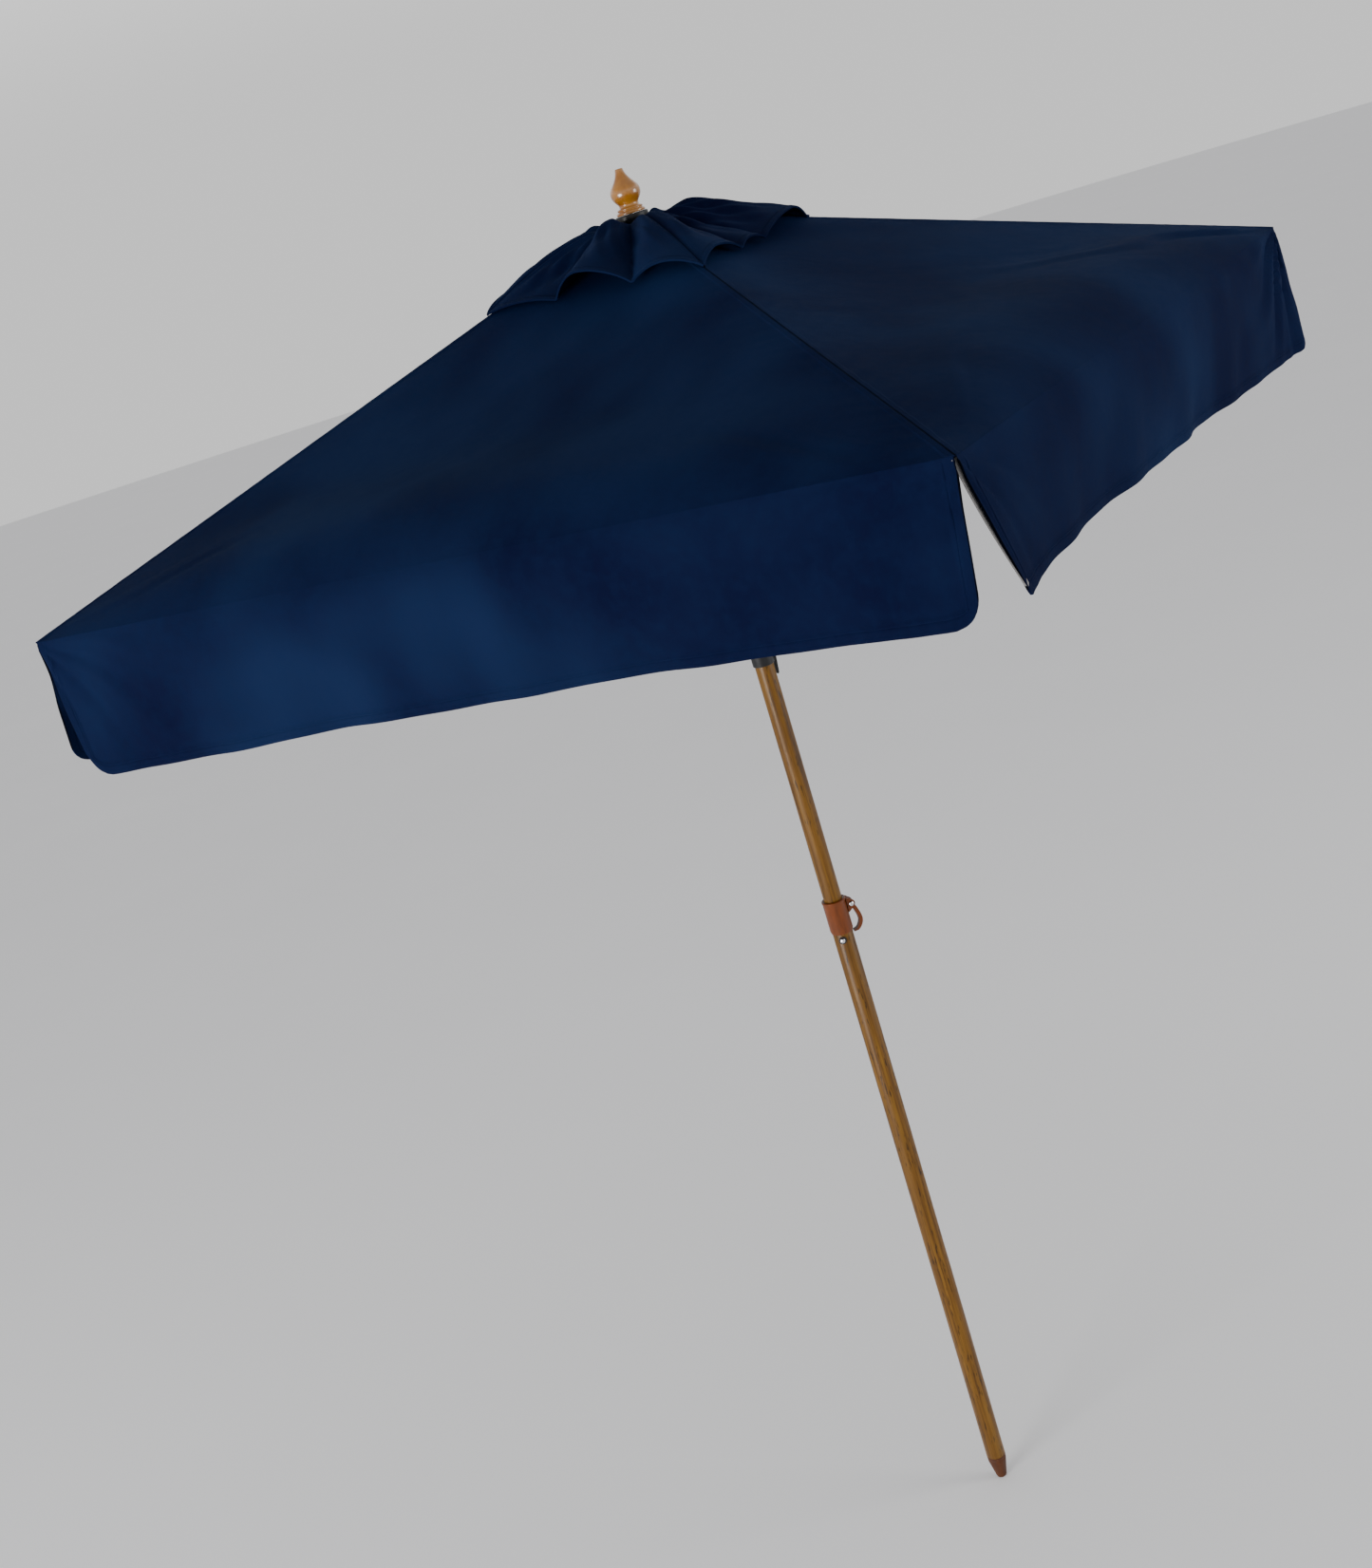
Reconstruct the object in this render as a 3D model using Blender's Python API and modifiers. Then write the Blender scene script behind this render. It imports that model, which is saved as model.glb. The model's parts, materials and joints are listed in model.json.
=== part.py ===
"""Square beach umbrella: a tube pole in two lengths, a cam-lever clamp, a sliding runner,
four ribs with their struts, and a vented cloth canopy with a hanging valance.

Metres, +Z up. The pole stands on the Z axis with the end of its ground tip at z = 0.
Ribs point along -Y (front), +X (right), +Y (back) and -X (left).
"""
import math

import bmesh
import bpy
from mathutils import Matrix, Vector

# ---------------------------------------------------------------- driving sizes
GAP = 0.0003                # left between two pieces that touch
SIDE_PLAY = 0.0005          # each side of a tang or lever in its slot
OVERLAP = 0.0009            # how far a joined shape reaches into the one it joins
OVERCUT = 0.010             # how far a cutter runs past the face it opens
CUTTER_ROD = 0.040          # length of a cutter for a pin's hole
CHAMFER = 0.0010
FINE_CHAMFER = 0.0005

# pole
LOWER_OD = 0.03175
UPPER_OD = 0.0286
TUBE_WALL = 0.0012
TIP_HEIGHT = 0.045
TIP_END_RADIUS = 0.009
TIP_FLAT_RADIUS = 0.0055
TIP_BAND = 0.010            # straight band above its taper
TIP_SPIGOT = 0.030
UPPER_TUBE_BOTTOM = 0.700
END_PLUG_FLANGE = 0.004
END_PLUG_SPIGOT = 0.025

# clamp
COLLAR_TOP = 1.100
COLLAR_HEIGHT = 0.055
COLLAR_OD = 0.0360
COLLAR_LIP = 0.006
COLLAR_RIM = 0.0008
EAR_WIDTH = 0.0035
EAR_DEPTH = 0.025
EAR_REACH = 0.0066          # past its pin
COLLAR_SLIT = 0.0018
LEVER_WIDTH = 0.009         # at its eye
LEVER_ARM_WIDTH = 0.0084
LEVER_THICKNESS = 0.0062
LEVER_TIP_THICKNESS = 0.0026
LEVER_PIN_STANDOFF = 0.0056 # pin's axis out from the collar's side
LEVER_PIN_DROP = 0.0145     # below the collar's top
LEVER_PIN_RADIUS = 0.002
LEVER_EYE_RADIUS = 0.0050
LEVER_BULGE = 0.0110        # how far the lever bows out past its pin
LEVER_LENGTH = 0.0460
PIN_HEAD_RADIUS = 0.0042
PIN_HEAD_HEIGHT = 0.0024
PIN_HEAD_SIDE = 0.0004      # straight side under its dome
RIVET_BELOW_COLLAR = 0.009
RIVET_BEARING = -115.0      # degrees round the pole from +X
RIVET_RADIUS = 0.0042
RIVET_SHANK_RADIUS = 0.002
RIVET_DOME = 0.0024
RIVET_SIDE = 0.0003         # straight side under its dome
WASHER_RADIUS = 0.0058
WASHER_THICKNESS = 0.0015

# crown and top
CROWN_TOP = 2.1320
CROWN_HEIGHT = 0.0400
CROWN_OD = 0.080
CROWN_ROOF = 0.004
PIVOT_RADIUS = 0.032
PIVOT_BELOW_CROWN_TOP = 0.020
CROWN_EDGE = 0.004
CROWN_WALL = 0.0065         # between its bore and its slots
EYE_HEADROOM = 0.0025       # over a rib's eye in its slot
RING_WIRE = 0.0024
STUD_RADIUS = 0.004
STUD_BELOW = 0.030
STUD_ABOVE = 0.036
PLUG_LENGTH = 0.032
DISC_OVER_CROWN = 0.0050    # room for two layers of cloth
DISC_HEIGHT = 0.0130
DISC_OD = 0.0460
FINIAL_HEIGHT = 0.0600
FINIAL_BASE_RADIUS = 0.0203
FINIAL_NECK_RADIUS = 0.0138
FINIAL_BULB_RADIUS = 0.0211
FINIAL_TIP_RADIUS = 0.0054
FINIAL_PLUG_RADIUS = 0.0036
FINIAL_PLUG_DEPTH = 0.006
FINIAL_PLUG_PROUD = 0.0004

# canopy
CLOTH_OVER_PIVOTS = 0.02676 # cloth's top square off the line of a rib's pivots
CORNER_RADIUS = 0.9470      # pole axis to a corner of the eave
ROOF_DROP = 0.2950          # apex down to the eave
CLOTH = 0.0012
VENT_CLOTH = 0.0012
VENT_RADIUS = 0.2560
VENT_HOLE_RADIUS = 0.1500
VENT_LIFT = 0.0050
CENTRE_HOLE_RADIUS = 0.0100
VALANCE_DROP = 0.1880
VALANCE_ROUND = 0.0350
VALANCE_SLIT = 0.0060       # from a corner to the edge of the flap beside it
STRAP_WIDTH = 0.0120
STRAP_LENGTH = 0.1400
STRAP_THICKNESS = 0.0016
STRAP_TOP_BELOW_EAVE = 0.0250
STRAP_INSET = 0.0170

# ribs and struts
RIB_WIDTH = 0.0110
RIB_DEPTH = 0.0120
RIB_RISE = 0.0130           # bar's centre line above the pivot line
RIB_EDGE = 0.0015
RIB_START = 0.0450
RIB_SHORT_OF_CORNER = 0.0283
TANG_WIDTH = 0.0080
EYE_RADIUS = 0.0055
SOCKET_LENGTH = 0.0450
SOCKET_WALL = 0.0020
SOCKET_ROOT = 0.0120        # closed end behind the bar
SOCKET_SKIRT = 0.0030       # extra depth under the bar
TIP_CAP_LENGTH = 0.0280
TIP_CAP_WALL = 0.0015
TIP_CAP_END_WALL = 0.0080
STRUT_AT = 0.3000           # along the rib, from its pivot
STRUT_WIDTH = 0.0060
STRUT_DEPTH = 0.0100
STRUT_PIN_RADIUS = 0.0016
BRACKET_LENGTH = 0.0300
BRACKET_WIDTH = 0.0160
BRACKET_EAR_RADIUS = 0.0060

# runner
RUNNER_BOTTOM = 1.4870
RUNNER_PIVOT_RISE = 0.1030  # struts' feet above the runner's bottom
RUNNER_TOP_RISE = 0.0500    # top of the runner above the struts' feet
RUNNER_PLAY = 0.0004
SLEEVE_WALL = 0.0018
FLANGE_OD = 0.0840
FLANGE_HEIGHT = 0.0300
FLANGE_CORE_WALL = 0.0066
FLANGE_EDGE = 0.0050
LATCH_WIDTH = 0.0054
LATCH_THICKNESS = 0.0037
LATCH_REACH = 0.0200        # below the runner's bottom edge
LATCH_PIN_RISE = 0.0250     # above the runner's bottom
LATCH_PIN_RADIUS = 0.0012
LATCH_EYE_RADIUS = 0.0034
LATCH_EAR = 0.0022
LATCH_STANDOFF = 0.0010     # its eye off the sleeve
LATCH_CLEARANCE = 0.0007    # its tongue off the sleeve and off the pole

# ---------------------------------------------------------------- sizes that follow
LOWER_ID = LOWER_OD - 2 * TUBE_WALL
UPPER_ID = UPPER_OD - 2 * TUBE_WALL
LOWER_TUBE_TOP = COLLAR_TOP - COLLAR_LIP - GAP
COLLAR_BOTTOM = COLLAR_TOP - COLLAR_HEIGHT
LEVER_PIN_X = COLLAR_OD / 2 + LEVER_PIN_STANDOFF
LEVER_PIN_Z = COLLAR_TOP - LEVER_PIN_DROP
PIN_HOLE_PLAY = GAP
RIVET_Z = COLLAR_BOTTOM - RIVET_BELOW_COLLAR
CROWN_BOTTOM = CROWN_TOP - CROWN_HEIGHT
UPPER_TUBE_TOP = CROWN_TOP - CROWN_ROOF - GAP
RIB_PIVOT_Z = CROWN_TOP - PIVOT_BELOW_CROWN_TOP
DISC_BOTTOM = CROWN_TOP + DISC_OVER_CROWN
FINIAL_Z = DISC_BOTTOM + DISC_HEIGHT + GAP
ROOF_SLOPE = ROOF_DROP / CORNER_RADIUS
RIB_ANGLE = math.atan(ROOF_SLOPE)
APEX_Z = RIB_PIVOT_Z + ROOF_SLOPE * PIVOT_RADIUS + CLOTH_OVER_PIVOTS / math.cos(RIB_ANGLE)
EAVE_Z = APEX_Z - ROOF_DROP
RIB_END = (CORNER_RADIUS - PIVOT_RADIUS) / math.cos(RIB_ANGLE) - RIB_SHORT_OF_CORNER
VENT_FLAT_TOP = DISC_BOTTOM - FINE_CHAMFER
RUNNER_PIVOT_Z = RUNNER_BOTTOM + RUNNER_PIVOT_RISE
RUNNER_TOP = RUNNER_PIVOT_Z + RUNNER_TOP_RISE
LATCH_PIN_Z = RUNNER_BOTTOM + LATCH_PIN_RISE
ROUND_STEPS = 32
SMALL_STEPS = 16

SIDES = {"front": -90.0, "right": 0.0, "back": 90.0, "left": 180.0}
NEIGHBOURS = {"front": ("right", "left"), "right": ("back", "front"),
              "back": ("left", "right"), "left": ("front", "back")}


# ---------------------------------------------------------------- scene and materials
def clear_scene():
    for item in list(bpy.data.objects):
        bpy.data.objects.remove(item, do_unlink=True)
    for group in list(bpy.data.collections):
        bpy.data.collections.remove(group)


clear_scene()
UMBRELLA = bpy.data.collections.new("beach_umbrella")
CUTTERS = bpy.data.collections.new("cutters")
bpy.context.scene.collection.children.link(UMBRELLA)
bpy.context.scene.collection.children.link(CUTTERS)


def material(name, colour, roughness, metallic=0.0):
    made = bpy.data.materials.new(name)
    made.use_nodes = True
    shader = made.node_tree.nodes["Principled BSDF"]
    shader.inputs["Base Color"].default_value = (*colour, 1.0)
    shader.inputs["Roughness"].default_value = roughness
    shader.inputs["Metallic"].default_value = metallic
    return made


GRAIN_TUBE = material("wood_grain_tube", (0.216, 0.098, 0.015), 0.35)
CLAMP_PLASTIC = material("red_brown_plastic", (0.181, 0.051, 0.010), 0.30)
TIP_PLASTIC = material("dark_brown_plastic", (0.084, 0.028, 0.007), 0.40)
BLACK_PLASTIC = material("black_plastic", (0.006, 0.006, 0.007), 0.35)
TURNED_WOOD = material("honey_wood", (0.309, 0.122, 0.014), 0.20)
RIB_WOOD = material("rib_wood", (0.290, 0.150, 0.050), 0.45)
BRIGHT_STEEL = material("bright_steel", (0.60, 0.60, 0.61), 0.18, 1.0)
NAVY_CLOTH = material("navy_cloth", (0.004, 0.010, 0.038), 0.80)
GREY_WEBBING = material("grey_webbing", (0.115, 0.107, 0.105), 0.85)


# ---------------------------------------------------------------- making shapes
def add_object(name, mesh, finish, home=UMBRELLA):
    made = bpy.data.objects.new(name, mesh)
    home.objects.link(made)
    if finish is not None:
        mesh.materials.append(finish)
    return made


def hide_cutter(cutter):
    for group in list(cutter.users_collection):
        group.objects.unlink(cutter)
    CUTTERS.objects.link(cutter)
    cutter.hide_render = True
    cutter.display_type = "WIRE"
    return cutter


def turned(name, profile, finish, closed=False, steps=ROUND_STEPS, home=UMBRELLA):
    """A solid of revolution about its own Z; the profile of (radius, height) runs down its outer side."""
    shape = bmesh.new()
    points = [shape.verts.new((radius, 0.0, height)) for radius, height in profile]
    for first, second in zip(points, points[1:]):
        shape.edges.new((first, second))
    if closed:
        shape.edges.new((points[-1], points[0]))
    mesh = bpy.data.meshes.new(name)
    shape.to_mesh(mesh)
    shape.free()
    made = add_object(name, mesh, finish, home)
    spin = made.modifiers.new("spin", "SCREW")
    spin.steps = steps
    spin.render_steps = steps
    spin.use_merge_vertices = True
    spin.merge_threshold = 0.00001
    spin.use_smooth_shade = True
    return made


def tube(name, outer, inner, bottom, top, finish, steps=ROUND_STEPS, home=UMBRELLA):
    profile = [(outer, top), (outer, bottom), (inner, bottom), (inner, top)]
    return turned(name, profile, finish, closed=True, steps=steps, home=home)


def box(name, low, high, finish=None, home=UMBRELLA, bevel=0.0):
    bpy.ops.mesh.primitive_cube_add(size=1.0)
    made = bpy.context.object
    made.name = name
    made.data.name = name
    centre = (Vector(low) + Vector(high)) / 2
    size = Vector(high) - Vector(low)
    made.data.transform(Matrix.Translation(centre) @ Matrix.Diagonal((*size, 1.0)))
    for group in list(made.users_collection):
        group.objects.unlink(made)
    home.objects.link(made)
    if finish is not None:
        made.data.materials.append(finish)
    if bevel:
        edge = made.modifiers.new("edges", "BEVEL")
        edge.width = bevel
        edge.segments = 2
    return made


def plate(name, outline, thickness, finish, home=UMBRELLA):
    """A flat outline of (x, z) points, thickened equally both ways along Y."""
    curve = bpy.data.curves.new(name, "CURVE")
    curve.dimensions = "2D"
    curve.fill_mode = "BOTH"
    curve.extrude = thickness / 2
    spline = curve.splines.new("POLY")
    spline.points.add(len(outline) - 1)
    for point, (x, z) in zip(spline.points, outline):
        point.co = (x, z, 0.0, 1.0)
    spline.use_cyclic_u = True
    drawn = bpy.data.objects.new(name + "_outline", curve)
    UMBRELLA.objects.link(drawn)
    bpy.context.view_layer.update()
    mesh = bpy.data.meshes.new_from_object(drawn.evaluated_get(bpy.context.evaluated_depsgraph_get()))
    bpy.data.objects.remove(drawn, do_unlink=True)
    bpy.data.curves.remove(curve)
    mesh.transform(Matrix.Rotation(math.radians(90.0), 4, "X"))
    shape = bmesh.new()
    shape.from_mesh(mesh)
    bmesh.ops.remove_doubles(shape, verts=shape.verts, dist=0.000001)
    bmesh.ops.recalc_face_normals(shape, faces=shape.faces)
    shape.to_mesh(mesh)
    shape.free()
    mesh.name = name
    return add_object(name, mesh, finish, home)


def combine(target, other, operation):
    hide_cutter(other)
    step = target.modifiers.new(operation.lower(), "BOOLEAN")
    step.operation = operation
    step.solver = "EXACT"
    step.object = other


def cut(target, *cutters):
    for cutter in cutters:
        combine(target, cutter, "DIFFERENCE")


def join(target, *others):
    for other in others:
        combine(target, other, "UNION")


def rod(name, radius, length, finish=None, home=UMBRELLA, steps=SMALL_STEPS):
    """A plain round bar centred on its own origin, along its own Z."""
    half = length / 2
    return turned(name, [(0.0, half), (radius, half), (radius, -half), (0.0, -half)], finish,
                  steps=steps, home=home)


def cross_rod(name, radius, x=0.0, z=0.0, length=CUTTER_ROD, finish=None, home=UMBRELLA):
    """A round bar along Y: a pin, or the cutter for its hole."""
    made = rod(name, radius, length, finish, home)
    made.location = (x, 0.0, z)
    made.rotation_euler = (math.radians(90.0), 0.0, 0.0)
    return made


def arc(centre, radius, start, end, steps):
    """Points of (x, z) on an arc, in degrees."""
    angles = [math.radians(start + (end - start) * step / steps) for step in range(steps + 1)]
    return [(centre[0] + radius * math.cos(a), centre[1] + radius * math.sin(a)) for a in angles]


def smooth_line(points, per_span):
    """Points on a smooth curve through the given points."""
    ends = [points[0], *points, points[-1]]
    line = []
    for before, start, end, after in zip(ends, ends[1:], ends[2:], ends[3:]):
        for step in range(per_span):
            t = step / per_span
            line.append(tuple(
                0.5 * (2 * b + (c - a) * t + (2 * a - 5 * b + 4 * c - d) * t * t
                       + (3 * b - a - 3 * c + d) * t ** 3)
                for a, b, c, d in zip(before, start, end, after)))
    return [*line, points[-1]]


def pivot(name, location, turns=(0.0, 0.0, 0.0), parent=None):
    """An empty on a joint's axis, turned by degrees about X, Y and Z."""
    made = bpy.data.objects.new(name, None)
    UMBRELLA.objects.link(made)
    made.empty_display_size = 0.02
    made.location = location
    made.rotation_euler = [math.radians(turn) for turn in turns]
    made.parent = parent
    return made


def hang(parent, *pieces):
    for piece in pieces:
        piece.parent = parent


# ---------------------------------------------------------------- lower pole
def build_lower_tube():
    pole = tube("lower_tube", LOWER_OD / 2, LOWER_ID / 2, TIP_HEIGHT + GAP, LOWER_TUBE_TOP, GRAIN_TUBE)
    hole = rod("rivet_hole", RIVET_SHANK_RADIUS + PIN_HOLE_PLAY, LOWER_OD / 2)
    place_on_rivet(hole, LOWER_OD / 2)
    cut(pole, hole)


def place_on_rivet(piece, distance):
    """Stands a piece that was turned about its own Z on the rivet's line, pointing out of the pole."""
    bearing = math.radians(RIVET_BEARING)
    piece.location = (distance * math.cos(bearing), distance * math.sin(bearing), RIVET_Z)
    piece.rotation_euler = (0.0, math.radians(90.0), bearing)


def build_ground_tip():
    outer = LOWER_OD / 2
    spigot = LOWER_ID / 2 - GAP
    nose = arc((TIP_FLAT_RADIUS, TIP_END_RADIUS - TIP_FLAT_RADIUS), TIP_END_RADIUS - TIP_FLAT_RADIUS,
               0.0, -90.0, 4)
    profile = [(0.0, TIP_HEIGHT + TIP_SPIGOT), (spigot - CHAMFER, TIP_HEIGHT + TIP_SPIGOT),
               (spigot, TIP_HEIGHT + TIP_SPIGOT - CHAMFER), (spigot, TIP_HEIGHT),
               (outer - FINE_CHAMFER, TIP_HEIGHT), (outer, TIP_HEIGHT - FINE_CHAMFER),
               (outer, TIP_HEIGHT - TIP_BAND),
               *nose, (0.0, 0.0)]
    turned("ground_tip", profile, TIP_PLASTIC)


def build_collar():
    outer = COLLAR_OD / 2
    bore = LOWER_OD / 2 + GAP
    lip_bore = UPPER_OD / 2 + GAP
    lip_bottom = COLLAR_TOP - COLLAR_LIP
    profile = [(outer - FINE_CHAMFER, COLLAR_TOP), (outer + COLLAR_RIM, COLLAR_TOP - CHAMFER),
               (outer + COLLAR_RIM, COLLAR_TOP - 0.003), (outer, COLLAR_TOP - 0.0045),
               (outer, COLLAR_BOTTOM + 0.004), (outer - 0.0012, COLLAR_BOTTOM), (bore, COLLAR_BOTTOM),
               (bore, lip_bottom), (lip_bore, lip_bottom), (lip_bore, COLLAR_TOP)]
    collar = turned("clamp_collar", profile, CLAMP_PLASTIC, closed=True)
    ears_half = LEVER_WIDTH / 2 + SIDE_PLAY + EAR_WIDTH
    ear_top = COLLAR_TOP - 0.002
    inner = COLLAR_OD / 2 - OVERLAP
    reach = LEVER_PIN_X + EAR_REACH
    outline = [(inner, ear_top), (LEVER_PIN_X - 0.001, ear_top - 0.003),
               *arc((LEVER_PIN_X, LEVER_PIN_Z), reach - LEVER_PIN_X, 70.0, -60.0, 6),
               (inner, ear_top - EAR_DEPTH)]
    ears = plate("ears", outline, 2 * ears_half, None)
    slit_half = LEVER_WIDTH / 2 + SIDE_PLAY
    slot = box("lever_slot", (COLLAR_OD / 2 + COLLAR_RIM - 0.0002, -slit_half, COLLAR_BOTTOM - OVERCUT),
               (reach + OVERCUT, slit_half, COLLAR_TOP + OVERCUT))
    slit = box("collar_slit", (0.0, -COLLAR_SLIT / 2, COLLAR_BOTTOM - OVERCUT),
               (reach, COLLAR_SLIT / 2, COLLAR_TOP + OVERCUT))
    pin_hole = cross_rod("lever_pin_hole", LEVER_PIN_RADIUS + PIN_HOLE_PLAY, LEVER_PIN_X, LEVER_PIN_Z)
    join(collar, ears)
    cut(collar, slot, slit, pin_hole)


def build_lever():
    """A cam lever: an eye on the pin, then an arm that bows out and comes back to the pole."""
    low = LEVER_PIN_Z - LEVER_LENGTH
    touch = LOWER_OD / 2 + 0.0006
    spine = smooth_line([(0.0, 0.0), (LEVER_BULGE * 0.55, -LEVER_LENGTH * 0.27),
                         (LEVER_BULGE - LEVER_THICKNESS / 2 + 0.002, -LEVER_LENGTH * 0.68),
                         (LEVER_BULGE * 0.30, -LEVER_LENGTH * 0.95),
                         (touch - LEVER_PIN_X + 0.0014, low - LEVER_PIN_Z)], 4)
    left, right = [], []
    for index, point in enumerate(spine):
        before = Vector(spine[max(index - 1, 0)])
        after = Vector(spine[min(index + 1, len(spine) - 1)])
        along = (after - before).normalized()
        share = index / (len(spine) - 1)
        half = (LEVER_THICKNESS - (LEVER_THICKNESS - LEVER_TIP_THICKNESS) * share ** 3) / 2
        left.append((point[0] + along.y * half, point[1] - along.x * half))
        right.append((point[0] - along.y * half, point[1] + along.x * half))
    lever = plate("clamp_lever", [*left, *reversed(right)], LEVER_ARM_WIDTH, CLAMP_PLASTIC)
    eye = rod("lever_eye", LEVER_EYE_RADIUS, LEVER_WIDTH, steps=24)
    eye.rotation_euler = (math.radians(90.0), 0.0, 0.0)
    hole = cross_rod("lever_eye_hole", LEVER_PIN_RADIUS + PIN_HOLE_PLAY)
    join(lever, eye)
    cut(lever, hole)
    hang(pivot("lever_axis", (LEVER_PIN_X, 0.0, LEVER_PIN_Z)), lever, eye, hole)


def build_lever_pin():
    """A shouldered pin along Y, with a domed head at each end of the ears."""
    half = LEVER_WIDTH / 2 + SIDE_PLAY + EAR_WIDTH + GAP
    side = half + PIN_HEAD_SIDE
    dome = [(PIN_HEAD_RADIUS * math.cos(a), side + PIN_HEAD_HEIGHT * math.sin(a))
            for a in [math.radians(80.0 - 20.0 * step) for step in range(5)]]
    top = [(0.0, side + PIN_HEAD_HEIGHT), *dome, (PIN_HEAD_RADIUS, half), (LEVER_PIN_RADIUS, half)]
    bottom = [(radius, -height) for radius, height in reversed(top)]
    pin = turned("lever_pin", [*top, *bottom], BRIGHT_STEEL, steps=20)
    pin.rotation_euler = (math.radians(90.0), 0.0, 0.0)
    pin.location = (LEVER_PIN_X, 0.0, LEVER_PIN_Z)


def build_rivet():
    seat = LOWER_OD / 2 + GAP
    wrap = seat - math.sqrt(seat ** 2 - WASHER_RADIUS ** 2)
    washer = tube("rivet_washer", WASHER_RADIUS, RIVET_SHANK_RADIUS + PIN_HOLE_PLAY, -wrap, WASHER_THICKNESS,
                  BLACK_PLASTIC, steps=24)
    place_on_rivet(washer, seat)
    hollow = rod("pole_clearance", seat, CUTTER_ROD, steps=ROUND_STEPS)
    hollow.location = (0.0, 0.0, RIVET_Z)
    cut(washer, hollow)
    head = WASHER_THICKNESS + GAP
    dome = [(RIVET_RADIUS * math.cos(a), head + RIVET_SIDE + RIVET_DOME * math.sin(a))
            for a in [math.radians(75.0 - 25.0 * step) for step in range(4)]]
    shank_end = -GAP - TUBE_WALL * 0.8
    profile = [(0.0, head + RIVET_SIDE + RIVET_DOME), *dome, (RIVET_RADIUS, head), (RIVET_SHANK_RADIUS, head),
               (RIVET_SHANK_RADIUS, shank_end), (0.0, shank_end)]
    rivet = turned("pole_rivet", profile, BRIGHT_STEEL, steps=20)
    place_on_rivet(rivet, seat)


# ---------------------------------------------------------------- upper pole
def build_upper_tube():
    tube("upper_tube", UPPER_OD / 2, UPPER_ID / 2, UPPER_TUBE_BOTTOM, UPPER_TUBE_TOP, GRAIN_TUBE)
    spigot = UPPER_ID / 2 - GAP
    bottom = UPPER_TUBE_BOTTOM - GAP - END_PLUG_FLANGE
    top = UPPER_TUBE_BOTTOM + END_PLUG_SPIGOT
    profile = [(0.0, top), (spigot - CHAMFER, top), (spigot, top - CHAMFER),
               (spigot, UPPER_TUBE_BOTTOM - GAP),
               (UPPER_OD / 2, UPPER_TUBE_BOTTOM - GAP), (UPPER_OD / 2, bottom + CHAMFER),
               (UPPER_OD / 2 - CHAMFER, bottom), (0.0, bottom)]
    turned("upper_end_plug", profile, BLACK_PLASTIC)


def build_crown():
    """A slotted hub over the top of the tube; its pivot ring lies in a groove open at the bottom."""
    bore = UPPER_OD / 2 + GAP
    roof = CROWN_TOP - CROWN_ROOF
    stud_hole = STUD_RADIUS + GAP
    rim = CROWN_OD / 2
    edge = CROWN_EDGE
    profile = [(rim - edge, CROWN_TOP), (rim, CROWN_TOP - edge), (rim, CROWN_BOTTOM + edge),
               (rim - edge * 0.75, CROWN_BOTTOM), (bore, CROWN_BOTTOM), (bore, roof), (stud_hole, roof),
               (stud_hole, CROWN_TOP)]
    crown = turned("crown", profile, BLACK_PLASTIC, closed=True)
    slot_half = TANG_WIDTH / 2 + SIDE_PLAY
    slot_top = RIB_PIVOT_Z + EYE_RADIUS + EYE_HEADROOM
    for side, bearing in SIDES.items():
        slot = box("crown_slot_" + side, (bore + CROWN_WALL, -slot_half, CROWN_BOTTOM - OVERCUT),
                   (rim + OVERCUT, slot_half, slot_top))
        slot.rotation_euler = (0.0, 0.0, math.radians(bearing))
        cut(crown, slot)
    wire = RING_WIRE / 2
    groove = tube("ring_groove", PIVOT_RADIUS + wire + GAP, PIVOT_RADIUS - wire - GAP, CROWN_BOTTOM - OVERCUT,
                  RIB_PIVOT_Z + wire + GAP, None)
    cut(crown, groove)


def build_crown_ring():
    """One closed wire ring that every rib turns on."""
    wire = RING_WIRE / 2
    section = [(PIVOT_RADIUS + x, RIB_PIVOT_Z + z) for x, z in arc((0.0, 0.0), wire, 90.0, -225.0, 7)]
    turned("crown_ring", section, BRIGHT_STEEL, closed=True)


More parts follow.
